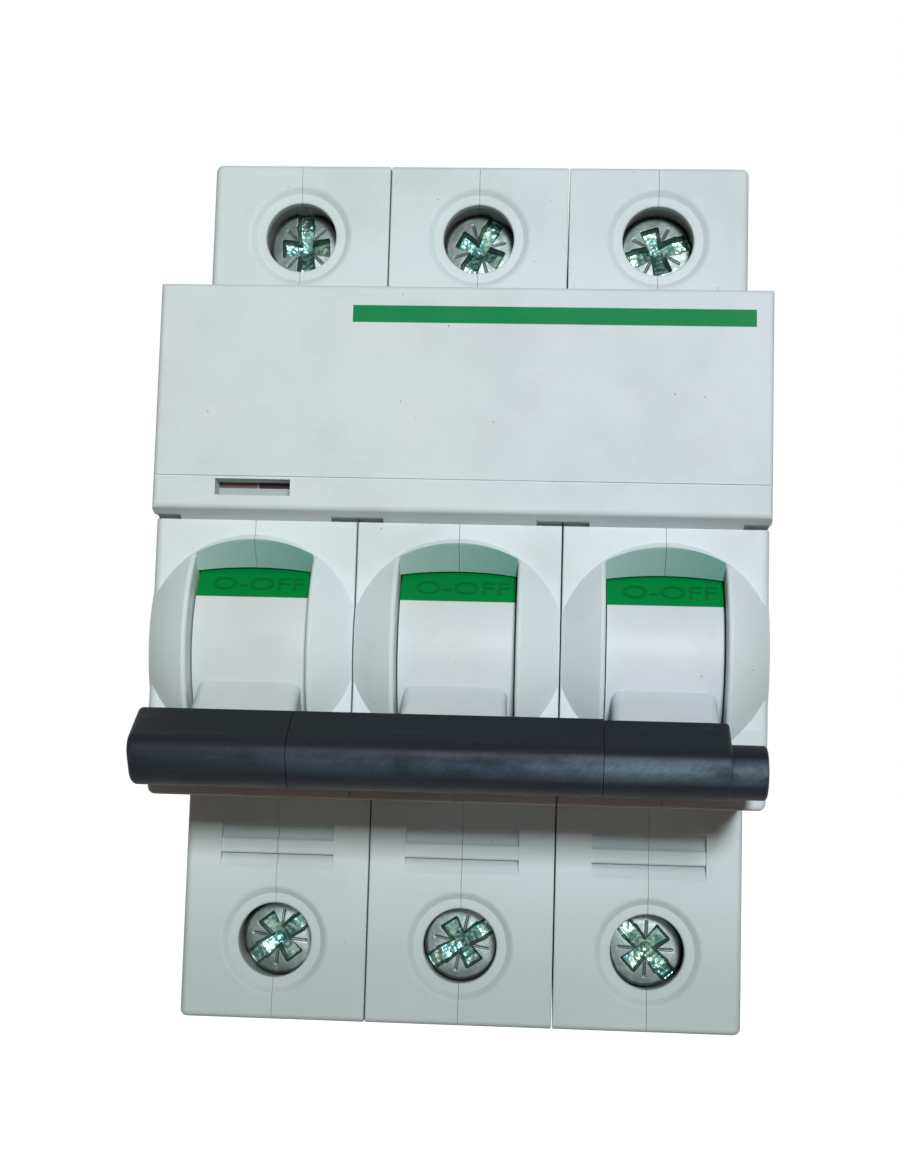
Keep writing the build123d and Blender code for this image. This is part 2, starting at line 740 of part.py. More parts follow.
def make_cover():
    """The plate across the top half of the nose, with its pegs, groove, notches and window."""
    with BuildPart() as front_cover:
        with BuildSketch(Plane.YZ.offset(-outside)):
            with BuildLine():
                Polyline(
                    (nose_front, cover_bottom),
                    (cover_front, cover_bottom + cover_bevel),
                    (cover_front, nose_half),
                    (nose_front, nose_half),
                    close=True,
                )
            make_face()
        extrude(amount=2 * outside)
        front_face = front_cover.faces().sort_by(Axis.Y)[0]
        fillet(front_face.edges(), corner_round)
        groove_centre = (cover_front, cover_groove_z)
        with BuildSketch(Plane.YZ.offset(-outside)):
            with Locations(groove_centre):
                Rectangle(2 * cover_groove, cover_groove)
        extrude(amount=2 * outside, mode=Mode.SUBTRACT)
        with BuildSketch(front_plane(cover_front)):
            with Locations((pole_centres[0] + window_offset, window_bottom + window_height / 2)):
                Rectangle(window_width, window_height)
        extrude(amount=-2 * cover_thickness, mode=Mode.SUBTRACT)
        notch_middles = [(a + b) / 2 for a, b in zip(pole_centres, pole_centres[1:])]
        with BuildSketch(front_plane(cover_front)):
            with Locations(*[(x, cover_bottom) for x in notch_middles + [-outside, outside]]):
                Rectangle(cover_notch_width, 2 * cover_notch_height)
        extrude(amount=-2 * cover_thickness, mode=Mode.SUBTRACT)
        with BuildSketch(front_plane(nose_front)):
            with Locations(*[(centre + x, z) for centre in pole_centres for x, z in peg_places()]):
                Circle(peg_radius)
        extrude(amount=-peg_length)
    save(front_cover.part, "front_cover")

    flag_centre_z = flag_bottom + flag_height / 2
    with BuildPart() as trip_flag:
        with BuildSketch(front_plane(nose_front + running_gap / 2)):
            with Locations((pole_centres[0], flag_centre_z)):
                Rectangle(flag_width, flag_height)
        extrude(amount=-(flag_thickness - running_gap / 2))
        with BuildSketch(front_plane(nose_front + running_gap)):
            with Locations((pole_centres[0], flag_centre_z)):
                Circle(flag_stem_radius)
        extrude(amount=-(edge_wall + 3 * flag_thickness))
    save(trip_flag.part, "trip_flag")


def make_rail_clips():
    """One sliding clip behind each pole, whose lip holds the rail's lower edge."""
    for number, centre in enumerate(pole_centres, start=1):
        foot = case_bottom + clip_foot
        with BuildPart() as rail_clip:
            with BuildSketch(Plane.XZ.offset(-clip_front)):
                with Locations((centre, (clip_tip + foot) / 2)):
                    Rectangle(2 * clip_half_width, clip_tip - foot)
            extrude(amount=-clip_thickness)
            with BuildSketch(Plane.XZ.offset(-clip_front)):
                with Locations((centre, (rail_bottom + foot) / 2)):
                    Rectangle(2 * clip_rib_half_width, rail_bottom - foot)
            extrude(amount=-(case_rear - clip_front))
            with BuildSketch(Plane.XZ.offset(-rail_slot)):
                with Locations((centre, (clip_tip + foot) / 2)):
                    Rectangle(2 * clip_rib_half_width, clip_tip - foot)
            extrude(amount=-rail_lip_depth)
            # A slot across the foot takes the blade that pulls the clip down.
            with BuildSketch(Plane.XY.offset(foot)):
                with Locations((centre, case_rear - clip_thickness / 2)):
                    Rectangle(clip_half_width, clip_thickness / 2)
            extrude(amount=clip_thickness, mode=Mode.SUBTRACT)
        save(rail_clip.part, f"rail_clip_{number}")


# ------------------------------------------------------------------ terminals
def make_terminals():
    """A clamping screw and its cage at each end of each pole, and the straps they clamp to."""
    for kind, (screw_z, side) in terminals.items():
        for number, centre in enumerate(pole_centres, start=1):
            with BuildPart() as screw:
                with BuildSketch(front_plane(head_front)):
                    with Locations((centre, screw_z)):
                        Circle(screw_head_radius)
                extrude(amount=-screw_head_height)
                chamfer(screw.faces().sort_by(Axis.Y)[0].edges(), screw_head_chamfer)
                with BuildSketch(front_plane(head_rear)):
                    with Locations((centre, screw_z)):
                        Circle(screw_shank_radius)
                extrude(amount=-shank_length)
                chamfer(screw.faces().sort_by(Axis.Y)[-1].edges(), screw_point_chamfer)
                with BuildSketch(front_plane(head_front)):
                    with Locations(Location((centre, screw_z, 0), (0, 0, screw_slot_turn))):
                        Rectangle(2 * screw_head_radius, screw_slot_width)
                        Rectangle(screw_slot_width, screw_cross_length)
                extrude(amount=-screw_slot_depth, mode=Mode.SUBTRACT)
                with BuildSketch(front_plane(head_front)):
                    with Locations(Location((centre, screw_z, 0), (0, 0, screw_slot_turn + 45))):
                        Rectangle(screw_notch_length, screw_notch_width)
                        Rectangle(screw_notch_width, screw_notch_length)
                extrude(amount=-screw_notch_depth, mode=Mode.SUBTRACT)
            save(screw.part, f"{kind}_terminal_screw_{number}")

            with BuildPart() as cage:
                with BuildSketch(Plane.XY.offset(screw_z - cage_length / 2)):
                    with Locations((centre, (cage_front + cage_rear) / 2)):
                        RectangleRounded(2 * cage_half_width, cage_rear - cage_front, cage_round)
                    with Locations((centre, (screw_tip + cage_inner_rear) / 2)):
                        RectangleRounded(
                            2 * (cage_half_width - cage_wall),
                            cage_inner_rear - screw_tip,
                            cage_inner_round,
                            mode=Mode.SUBTRACT,
                        )
                extrude(amount=cage_length)
                with BuildSketch(front_plane(cage_front)):
                    with Locations((centre, screw_z)):
                        Circle(screw_shank_radius + pin_clearance)
                extrude(amount=-cage_front_wall, mode=Mode.SUBTRACT)
            save(cage.part, f"{kind}_terminal_cage_{number}")


def make_straps():
    """Copper straps: line terminal to coil, coil to fixed contact, bimetal to load terminal."""
    strap_y = (strap_front + strap_rear) / 2
    line_end = line_screw_z + cage_length / 2 - strap_end_gap
    coil_top = coil_bottom + 2 * bobbin_flange + coil_turns * coil_pitch
    with BuildPart() as line_strap:
        with BuildSketch(Plane.YZ.offset(-strap_half_width)):
            with Locations((strap_y, (line_end + coil_top + coil_lead_rise) / 2)):
                Rectangle(strap_thickness, line_end - coil_top - coil_lead_rise)
            with Locations(((coil_y + coil_radius + strap_rear) / 2, coil_top + coil_lead_rise)):
                Rectangle(strap_rear - coil_y - coil_radius, coil_lead_thickness)
        extrude(amount=2 * strap_half_width)
    save(at_every_pole(line_strap.part), "line_straps")

    contact_y, contact_z = fixed_tip_seat()
    foot_top = contact_z + fixed_strap_thickness
    leg_rear = contact_y - tip_length / 2 - fixed_leg_gap + fixed_strap_thickness
    coil_end = coil_y + bobbin_flange_radius + pin_clearance
    with BuildPart() as contact_strap:
        with BuildSketch(Plane.YZ.offset(-contact_half_width)):
            with Locations((contact_y + fixed_strap_offset, foot_top - fixed_strap_thickness / 2)):
                Rectangle(tip_length + fixed_strap_foot, fixed_strap_thickness)
            leg_top = coil_bottom + coil_lead_rise
            with Locations((leg_rear - fixed_strap_thickness / 2, (foot_top + leg_top) / 2)):
                Rectangle(fixed_strap_thickness, leg_top - foot_top)
            with Locations(((coil_end + leg_rear) / 2, leg_top - fixed_strap_thickness / 2)):
                Rectangle(leg_rear - coil_end, fixed_strap_thickness)
        extrude(amount=2 * contact_half_width)
    save(at_every_pole(contact_strap.part), "fixed_contact_straps")
    with BuildPart() as fixed_tip:
        with BuildSketch(Plane.XY.offset(contact_z)):
            with Locations((0, contact_y)):
                RectangleRounded(tip_width, tip_length, tip_round)
        extrude(amount=-tip_thickness)
    save(at_every_pole(fixed_tip.part), "fixed_contact_tips")

    load_end = load_screw_z - cage_length / 2 + strap_end_gap
    with BuildPart() as load_strap:
        with BuildSketch(Plane.YZ.offset(-strap_half_width)):
            with Locations((strap_y, (load_end + bimetal_bottom) / 2)):
                Rectangle(strap_thickness, bimetal_bottom - load_end)
        extrude(amount=2 * strap_half_width)
        with BuildSketch(Plane.YZ.offset(-strap_half_width)):
            with Locations(((bimetal_y + bimetal_thickness / 2 + strap_rear) / 2, bimetal_bottom)):
                Rectangle(strap_rear - bimetal_y - bimetal_thickness / 2, bimetal_lead)
        extrude(amount=strap_half_width + bimetal_x + bimetal_half_width)
    save(at_every_pole(load_strap.part), "load_straps")


def fixed_tip_seat():
    """The Y and Z where the fixed tip meets its strap, just above the closed moving tip."""
    tilt = radians(contact_swing - arm_rest_tilt)
    reach = arm_rear - tip_length / 2
    up = arm_half_height + tip_thickness
    y = arm_pivot_y + reach * cos(tilt) - up * sin(tilt)
    z = arm_pivot_z + (reach + tip_length / 2) * sin(tilt) + up * cos(tilt)
    return y, z + contact_gap_closed + tip_thickness


# ------------------------------------------------------------------ toggle and its handle bar
def make_toggles():
    """A drum, lever and trunnions per pole; the lever's tip stands inside the handle bar."""
    with BuildPart() as toggle:
        with BuildSketch(Plane.YZ.offset(-drum_half_width)):
            with BuildLine():
                top = drum_point(drum_top_angle, drum_radius)
                bottom = drum_point(-drum_bottom_angle, drum_radius)
                rim = ThreePointArc(top, drum_point(-lever_angle, drum_radius), bottom)
                Polyline(rim @ 1, (toggle_axis_y, toggle_axis_z), rim @ 0)
            make_face()
            with Locations((toggle_axis_y, toggle_axis_z)):
                Circle(hub_radius)
        extrude(amount=2 * drum_half_width)
        with BuildSketch(Plane.YZ.offset(-inner_half + running_gap)):
            with Locations((toggle_axis_y, toggle_axis_z)):
                Circle(trunnion_radius)
        extrude(amount=2 * (inner_half - running_gap))
        add(lever_blank())
        # Room for the band on the drum, the tie rod in the lever, and the link wire in the hub
        cut_band_seat(band_depth, Mode.SUBTRACT)
        with BuildSketch(lever_plane.offset(-pole_pitch / 2)):
            with Locations((tie_rod_reach, 0)):
                Circle(tie_rod_radius + pin_clearance)
        extrude(amount=pole_pitch, mode=Mode.SUBTRACT)
        with BuildSketch(Plane.YZ.offset(drum_half_width)):
            with Locations(drum_point(180 - crank_angle, crank_radius)):
                Circle(link_wire_radius + pin_clearance)
        extrude(amount=-drum_half_width, mode=Mode.SUBTRACT)
    for number, centre in enumerate(pole_centres, start=1):
        save(Pos(centre, 0, 0) * toggle.part, f"toggle_{number}")

    with BuildPart() as band:
        cut_band_seat(band_depth, Mode.ADD)
    save(at_every_pole(band.part), "off_bands")


def lever_blank():
    """The lever from inside the drum to its tip, with rounded long edges."""
    with BuildPart() as lever:
        with BuildSketch(lever_plane.offset(-lever_half_width)):
            with BuildLine():
                Polyline(
                    (drum_radius / 2, lever_root_half),
                    (cap_inner, lever_tip_half),
                    (lever_reach, lever_tip_half),
                    (lever_reach, -lever_tip_half),
                    (cap_inner, -lever_tip_half),
                    (drum_radius / 2, -lever_root_half),
                    close=True,
                )
            make_face()
        extrude(amount=2 * lever_half_width)
        flank_length = sqrt((cap_inner - drum_radius / 2) ** 2 + (lever_root_half - lever_tip_half) ** 2)
        flank_edges = lever.edges().filter_by(lambda e: abs(e.length - flank_length) < 0.01)
        fillet(flank_edges, lever_edge_round)
    return lever.part


def cut_band_seat(depth, mode):
    """Cut, or fill, the strip of the drum's rim that holds the coloured band."""
    inner = drum_radius - depth
    outer = drum_radius + band_proud
    middle = (band_start + band_end) / 2
    with BuildSketch(Plane.YZ.offset(-drum_half_width), mode=Mode.PRIVATE) as strip:
        with BuildLine():
            low = ThreePointArc(*[drum_point(a, inner) for a in (band_start, middle, band_end)])
            high = ThreePointArc(*[drum_point(a, outer) for a in (band_end, middle, band_start)])
            Line(low @ 1, high @ 0)
            Line(high @ 1, low @ 0)
        make_face()
    extrude(strip.sketch, amount=2 * drum_half_width, mode=mode)


def make_handle_bar():
    """Three caps end to end over the levers, joined by a rod; the right one has a thin tail."""
    spans = {
        "left": (cap_left_end, cap_left_seam - cap_seam_gap / 2),
        "middle": (cap_left_seam + cap_seam_gap / 2, cap_right_seam - cap_seam_gap / 2),
        "right": (cap_right_seam + cap_seam_gap / 2, cap_right_end),
    }
    pocket = lever_tip_half + pin_clearance
    for (name, (left, right)), centre in zip(spans.items(), pole_centres):
        upper = cap_right_upper if name == "right" else cap_upper
        with BuildPart() as cap:
            # lever_plane looks along -X, so a larger offset lies further to the left.
            with BuildSketch(lever_plane.offset(-right)) as section:
                with BuildLine():
                    Polyline(
                        (cap_inner, -cap_lower),
                        (cap_outer, -cap_lower),
                        (cap_outer, upper),
                        (cap_inner, upper),
                        close=True,
                    )
                make_face()
                fillet(section.vertices().group_by(Axis.X)[0], cap_back_round)
                fillet(section.vertices().sort_by(Axis.X)[-2:].sort_by(Axis.Y)[0], cap_belly_round)
                fillet(section.vertices().sort_by(Axis.X)[-2:].sort_by(Axis.Y)[-1], cap_nose_round)
            extrude(amount=right - left)
            if name == "left":
                fillet(cap.faces().sort_by(Axis.X)[0].edges(), corner_round)
            if name == "right":
                fillet(cap.faces().sort_by(Axis.X)[-1].edges(), cap_end_round)
                with BuildSketch(lever_plane.offset(-right + tail_radius / 2)):
                    with Locations((tail_reach, -tail_drop)):
                        Circle(tail_radius)
                extrude(amount=-(tail_end - right + tail_radius / 2))
                fillet(cap.faces().sort_by(Axis.X)[-1].edges(), cap_end_round)
            pocket_left = max(left, centre - lever_half_width - pin_clearance)
            pocket_right = min(right, centre + lever_half_width + pin_clearance)
            if name == "left":
                pocket_right = right
            with BuildSketch(lever_plane.offset(-pocket_right)):
                with Locations(((cap_inner + lever_reach + pin_clearance) / 2, 0)):
                    Rectangle(lever_reach + pin_clearance - cap_inner, 2 * pocket)
            extrude(amount=pocket_right - pocket_left, mode=Mode.SUBTRACT)
            with BuildSketch(lever_plane.offset(-tie_rod_end)):
                with Locations((tie_rod_reach, 0)):
                    Circle(tie_rod_radius + pin_clearance)
            extrude(amount=2 * tie_rod_end, mode=Mode.SUBTRACT)
        save(cap.part, f"handle_cap_{name}")

    with BuildPart() as tie_rod:
        with BuildSketch(lever_plane.offset(-tie_rod_end + running_gap / 2)):
            with Locations((tie_rod_reach, 0)):
                Circle(tie_rod_radius)
        extrude(amount=2 * tie_rod_end - running_gap)
    save(tie_rod.part, "handle_tie_rod")


# ------------------------------------------------------------------ contact mechanism
def make_contacts():
    """Rocking contact arms with their pins, silver tips and the wire links that drive them."""
    arm_plane = Plane(
        origin=(0, arm_pivot_y, arm_pivot_z),
        x_dir=(0, cos(radians(arm_rest_tilt)), -sin(radians(arm_rest_tilt))),
        z_dir=(1, 0, 0),
    )
    eye = link_wire_radius + link_slot_play
    with BuildPart() as arm:
        with BuildSketch(arm_plane.offset(-arm_half_width)):
            with BuildLine():
                Polyline(
                    (-arm_front, arm_half_height),
                    (arm_rear, arm_half_height),
                    (arm_rear, 0),
                    (arm_rear / 2, -arm_half_height),
                    (-arm_front, -arm_half_height),
                    close=True,
                )
            make_face()
            with Locations((-arm_front, 0)):
                Circle(eye + arm_eye_wall)
            Circle(arm_eye_radius)
            with Locations((-arm_front, 0)):
                Circle(eye, mode=Mode.SUBTRACT)
            Circle(arm_pin_radius + pin_clearance, mode=Mode.SUBTRACT)
        extrude(amount=2 * arm_half_width)
    save(at_every_pole(arm.part), "contact_arms")

    with BuildPart() as moving_tip:
        with BuildSketch(arm_plane.offset(-tip_width / 2)):
            with Locations((arm_rear - tip_length / 2, arm_half_height + tip_thickness / 2)):
                Rectangle(tip_length, tip_thickness)
        extrude(amount=tip_width)
    save(at_every_pole(moving_tip.part), "moving_contact_tips")

    with BuildPart() as arm_pin:
        with BuildSketch(Plane.YZ.offset(-inner_half + pin_clearance)):
            with Locations((arm_pivot_y, arm_pivot_z)):
                Circle(arm_pin_radius)
        extrude(amount=2 * (inner_half - pin_clearance))
    save(at_every_pole(arm_pin.part), "contact_arm_pins")

    crank = drum_point(180 - crank_angle, crank_radius)
    eye_place = arm_point(-arm_front)
    with BuildPart() as link:
        with BuildLine():
            FilletPolyline(
                (drum_half_width - link_depth, *crank),
                (link_side_x, *crank),
                (link_side_x, *eye_place),
                (-arm_half_width - link_wire_radius, *eye_place),
                radius=link_bend_radius,
            )
        with BuildSketch(Plane(origin=(drum_half_width - link_depth, *crank), z_dir=(1, 0, 0))):
            Circle(link_wire_radius)
        sweep()
    save(at_every_pole(link.part), "link_rods")


def make_springs():
    """Coil springs round the toggle's left boss and under the contact arm, and the copper braids."""
    spring_radius = trunnion_boss_radius + running_gap + toggle_spring_wire
    pitch = (inner_half - drum_half_width - 2 * running_gap - 2 * toggle_spring_wire) / toggle_spring_turns
    with BuildPart() as toggle_spring:
        with BuildLine() as helix:
            Helix(
                pitch=pitch,
                height=pitch * toggle_spring_turns,
                radius=spring_radius,
                center=(-inner_half + running_gap + toggle_spring_wire, toggle_axis_y, toggle_axis_z),
                direction=(1, 0, 0),
            )
        with BuildSketch(Plane(origin=helix.line @ 0, z_dir=helix.line % 0)):
            Circle(toggle_spring_wire)
        sweep()
    save(at_every_pole(toggle_spring.part), "toggle_springs")

    length = contact_spring_top - contact_spring_bottom
    with BuildPart() as contact_spring:
        with BuildLine() as helix:
            Helix(
                pitch=length / contact_spring_turns,
                height=length,
                radius=contact_spring_radius,
                center=(0, contact_spring_y, contact_spring_bottom),
            )
        with BuildSketch(Plane(origin=helix.line @ 0, z_dir=helix.line % 0)):
            Circle(contact_spring_wire)
        sweep()
    save(at_every_pole(contact_spring.part), "contact_springs")

    start = (bimetal_x, bimetal_y + bimetal_thickness / 2 + pin_clearance, bimetal_top - braid_drop)
    end_y, end_z = arm_point(braid_arm_place, -arm_half_height - pin_clearance)
    with BuildPart() as braid:
        with BuildLine() as route:
            FilletPolyline(
                start,
                (bimetal_x, start[1] + braid_reach, start[2]),
                (0, end_y - braid_rise, start[2] + braid_rise),
                (0, end_y, end_z),
                radius=braid_bend,
            )
        with BuildSketch(Plane(origin=route.line @ 0, z_dir=route.line % 0)):
            Circle(braid_radius)
        sweep()
    save(at_every_pole(braid.part), "flexible_braids")


# ------------------------------------------------------------------ magnetic and thermal release
def make_releases():
    """Coils with bobbins, yokes and plungers, bimetal strips with their screws, and the trip bar."""
    winding = coil_turns * coil_pitch
    winding_bottom = coil_bottom + bobbin_flange
    with BuildPart() as coil:
        with BuildLine() as helix:
            Helix(pitch=coil_pitch, height=winding - coil_pitch, radius=coil_radius,
                  center=(0, coil_y, winding_bottom + coil_pitch / 2))
        with BuildSketch(Plane(origin=helix.line @ 0, z_dir=helix.line % 0)):
            Circle(coil_wire_radius)
        sweep()
    save(at_every_pole(coil.part), "trip_coils")

    with BuildPart() as bobbin:
        with BuildSketch(Plane.XY.offset(coil_bottom)):
            with Locations((0, coil_y)):
                Circle(bobbin_flange_radius)
        extrude(amount=bobbin_flange)
        with BuildSketch(Plane.XY.offset(coil_bottom)):
            with Locations((0, coil_y)):
                Circle(bobbin_radius)
        extrude(amount=winding + 2 * bobbin_flange)
        with BuildSketch(Plane.XY.offset(winding_bottom + winding)):
            with Locations((0, coil_y)):
                Circle(bobbin_flange_radius)
        extrude(amount=bobbin_flange)
        with BuildSketch(Plane.XY.offset(coil_bottom)):
            with Locations((0, coil_y)):
                Circle(plunger_radius + running_gap)
        extrude(amount=winding + 2 * bobbin_flange, mode=Mode.SUBTRACT)
    save(at_every_pole(bobbin.part), "coil_bobbins")

    yoke_front = coil_y - bobbin_flange_radius - yoke_thickness - yoke_gap
    yoke_rear = coil_y + yoke_overhang
    with BuildPart() as yoke:
        with BuildSketch(Plane.XY.offset(coil_bottom)):
            with Locations((0, yoke_front + yoke_thickness / 2)):
                Rectangle(2 * yoke_half_width, yoke_thickness)
        extrude(amount=winding + 2 * bobbin_flange + yoke_thickness)
        with BuildSketch(Plane.XY.offset(coil_bottom + winding + 2 * bobbin_flange)):
            with Locations((0, (yoke_front + yoke_rear) / 2)):
                Rectangle(2 * yoke_half_width, yoke_rear - yoke_front)
        extrude(amount=yoke_thickness)
    save(at_every_pole(yoke.part), "magnet_yokes")

    for number, centre in enumerate(pole_centres, start=1):
        with BuildPart() as plunger:
            with BuildSketch(Plane.XY.offset(plunger_tip)):
                with Locations((centre, coil_y)):
                    Circle(plunger_radius)
            extrude(amount=coil_bottom - plunger_tip + winding)
            chamfer(plunger.faces().sort_by(Axis.Z)[0].edges(), plunger_chamfer)
        save(plunger.part, f"trip_plunger_{number}")

    with BuildPart() as bimetal:
        with BuildSketch(Plane.YZ.offset(bimetal_x - bimetal_half_width)):
            with Locations((bimetal_y, (bimetal_top + bimetal_bottom - bimetal_lead / 2) / 2)):
                Rectangle(bimetal_thickness, bimetal_top - bimetal_bottom + bimetal_lead / 2)
        extrude(amount=2 * bimetal_half_width)
    save(at_every_pole(bimetal.part), "bimetals")

    with BuildPart() as calibration_screw:
        with BuildSketch(front_plane(bimetal_y - bimetal_thickness / 2 - pin_clearance)):
            with Locations((bimetal_x, bimetal_bottom + calibration_rise)):
                Circle(calibration_radius)
        extrude(amount=bimetal_y - bimetal_thickness / 2 - shoulder_front - edge_wall - 2 * pin_clearance)
    save(at_every_pole(calibration_screw.part), "calibration_screws")

    bar_end = outside - side_wall / 2 - 2 * pin_clearance
    with BuildPart() as trip_bar:
        with BuildSketch(Plane.YZ.offset(-bar_end)):
            with Locations((trip_bar_y, trip_bar_z)):
                Circle(trip_bar_radius)
        extrude(amount=2 * bar_end)
        # Under each plunger a finger reaches back, and beside the bimetal another hangs down.
        for centre in pole_centres:
            with BuildSketch(Plane.YZ.offset(centre - trip_finger_half_width)):
                finger_tip = coil_y + plunger_radius
                with Locations(((trip_bar_y + finger_tip) / 2, trip_bar_z - trip_finger_thickness / 2)):
                    Rectangle(finger_tip - trip_bar_y, trip_finger_thickness)
            extrude(amount=2 * trip_finger_half_width)
            with BuildSketch(Plane.YZ.offset(centre + bimetal_x - trip_arm_half_width)):
                arm_foot = bimetal_top - trip_arm_lap
                arm_root = trip_arm_offset + trip_finger_thickness / 2
                with Locations((trip_bar_y - trip_arm_offset, (trip_bar_z + arm_foot) / 2)):
                    Rectangle(trip_finger_thickness, trip_bar_z - arm_foot)
                with Locations((trip_bar_y - arm_root / 2, trip_bar_z)):
                    Rectangle(arm_root, 2 * trip_arm_half_width)
            extrude(amount=2 * trip_arm_half_width)
    save(trip_bar.part, "trip_bar")


# ------------------------------------------------------------------ arc chute
def make_arc_chutes():
    """A stack of notched steel plates per pole between two cards, and the runners about it."""
    depth = chute_rear - chute_front
    for number, centre in enumerate(pole_centres, start=1):
        with BuildPart() as plates:
            for step in range(chute_plates):
                with BuildSketch(Plane.XY.offset(chute_bottom + step * chute_pitch)):
                    with Locations((centre, (chute_front + chute_rear) / 2)):
                        Rectangle(2 * chute_half_width, depth)
                    with BuildLine():
                        Polyline(
                            (centre - chute_notch / 2, chute_front),
                            (centre, chute_front + chute_notch),
                            (centre + chute_notch / 2, chute_front),
                            close=True,
                        )
                    make_face(mode=Mode.SUBTRACT)
                extrude(amount=chute_plate)
        save(plates.part, f"arc_chute_plates_{number}")

    stack = (chute_plates - 1) * chute_pitch + chute_plate
    with BuildPart() as card:
        for left in (-chute_half_width - chute_card, chute_half_width):
            with BuildSketch(Plane.YZ.offset(left)):
                with Locations(((chute_front + chute_rear) / 2, chute_bottom + stack / 2)):
                    Rectangle(depth, stack)
            extrude(amount=chute_card)
    save(at_every_pole(card.part), "arc_chute_cards")

    with BuildPart() as runner:
        for z in (chute_bottom - chute_pitch, chute_bottom + chute_plates * chute_pitch):
            with BuildSketch(Plane.YZ.offset(-contact_half_width)):
                with Locations(((chute_front + chute_rear) / 2, z)):
                    Rectangle(depth, chute_plate)
            extrude(amount=2 * contact_half_width)
    save(at_every_pole(runner.part), "arc_runners")


os.makedirs("parts", exist_ok=True)
make_case()
make_cover()
make_rail_clips()
make_terminals()
make_straps()
make_toggles()
make_handle_bar()
make_contacts()
make_springs()
make_releases()
make_arc_chutes()
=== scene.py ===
"""Looks of a three-pole circuit breaker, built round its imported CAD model.

Everything is in the model's own frame: the front faces -Y, +Z is up and the origin lies on the rail seat.
Sizes in the classes are in millimetres, and MM turns them into Blender's metres.
"""

import json
import logging
import math
from dataclasses import dataclass, field
from enum import Enum
from typing import Protocol

import bpy
import numpy as np
from mathutils import Matrix, Vector


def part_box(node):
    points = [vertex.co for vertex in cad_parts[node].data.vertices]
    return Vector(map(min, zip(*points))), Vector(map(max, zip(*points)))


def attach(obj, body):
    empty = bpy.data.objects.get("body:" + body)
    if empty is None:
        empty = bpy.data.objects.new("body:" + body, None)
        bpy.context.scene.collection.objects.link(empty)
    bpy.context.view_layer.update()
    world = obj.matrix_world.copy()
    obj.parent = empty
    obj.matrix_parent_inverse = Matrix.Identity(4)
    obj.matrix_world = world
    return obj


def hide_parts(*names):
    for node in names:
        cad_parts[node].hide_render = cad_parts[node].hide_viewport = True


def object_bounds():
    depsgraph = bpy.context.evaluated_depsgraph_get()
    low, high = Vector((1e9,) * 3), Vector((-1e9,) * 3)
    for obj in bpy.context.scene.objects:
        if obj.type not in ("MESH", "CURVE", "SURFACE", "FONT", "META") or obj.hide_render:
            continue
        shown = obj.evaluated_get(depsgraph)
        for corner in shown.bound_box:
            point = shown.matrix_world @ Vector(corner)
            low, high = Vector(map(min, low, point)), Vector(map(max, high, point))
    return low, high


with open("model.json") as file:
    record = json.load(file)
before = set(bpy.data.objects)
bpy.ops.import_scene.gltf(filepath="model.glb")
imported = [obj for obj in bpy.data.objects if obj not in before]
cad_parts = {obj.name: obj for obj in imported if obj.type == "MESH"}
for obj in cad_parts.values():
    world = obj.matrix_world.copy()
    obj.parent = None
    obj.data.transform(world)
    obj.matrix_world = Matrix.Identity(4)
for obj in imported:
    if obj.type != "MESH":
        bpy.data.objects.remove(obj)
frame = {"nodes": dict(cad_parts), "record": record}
CAD_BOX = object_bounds()
MM = 0.001
POLE_PITCH = 18.0
# share of a grain's radius inside which it covers fully
GRAIN_CORE = 0.4
log = logging.getLogger("breaker")

Socket = bpy.types.NodeSocket
# what an input takes: another node's output, a number, an sRGB hex colour or several numbers
SocketValue = Socket | float | str | tuple[float, ...]


# ---------------------------------------------------------------- materials
def linear(hex_colour: str) -> tuple[float, float, float, float]:
    """Turns an sRGB colour into the linear one that shaders use.

    Args:
        hex_colour: Six hex digits after a hash, such as "#28323c".

    Returns:
        Linear red, green and blue, and an alpha of 1.
    """
    coded = np.array([int(hex_colour[i : i + 2], 16) / 255 for i in (1, 3, 5)])
    light = np.where(coded <= 0.04045, coded / 12.92, ((coded + 0.055) / 1.055) ** 2.4)
    return (*light.tolist(), 1.0)


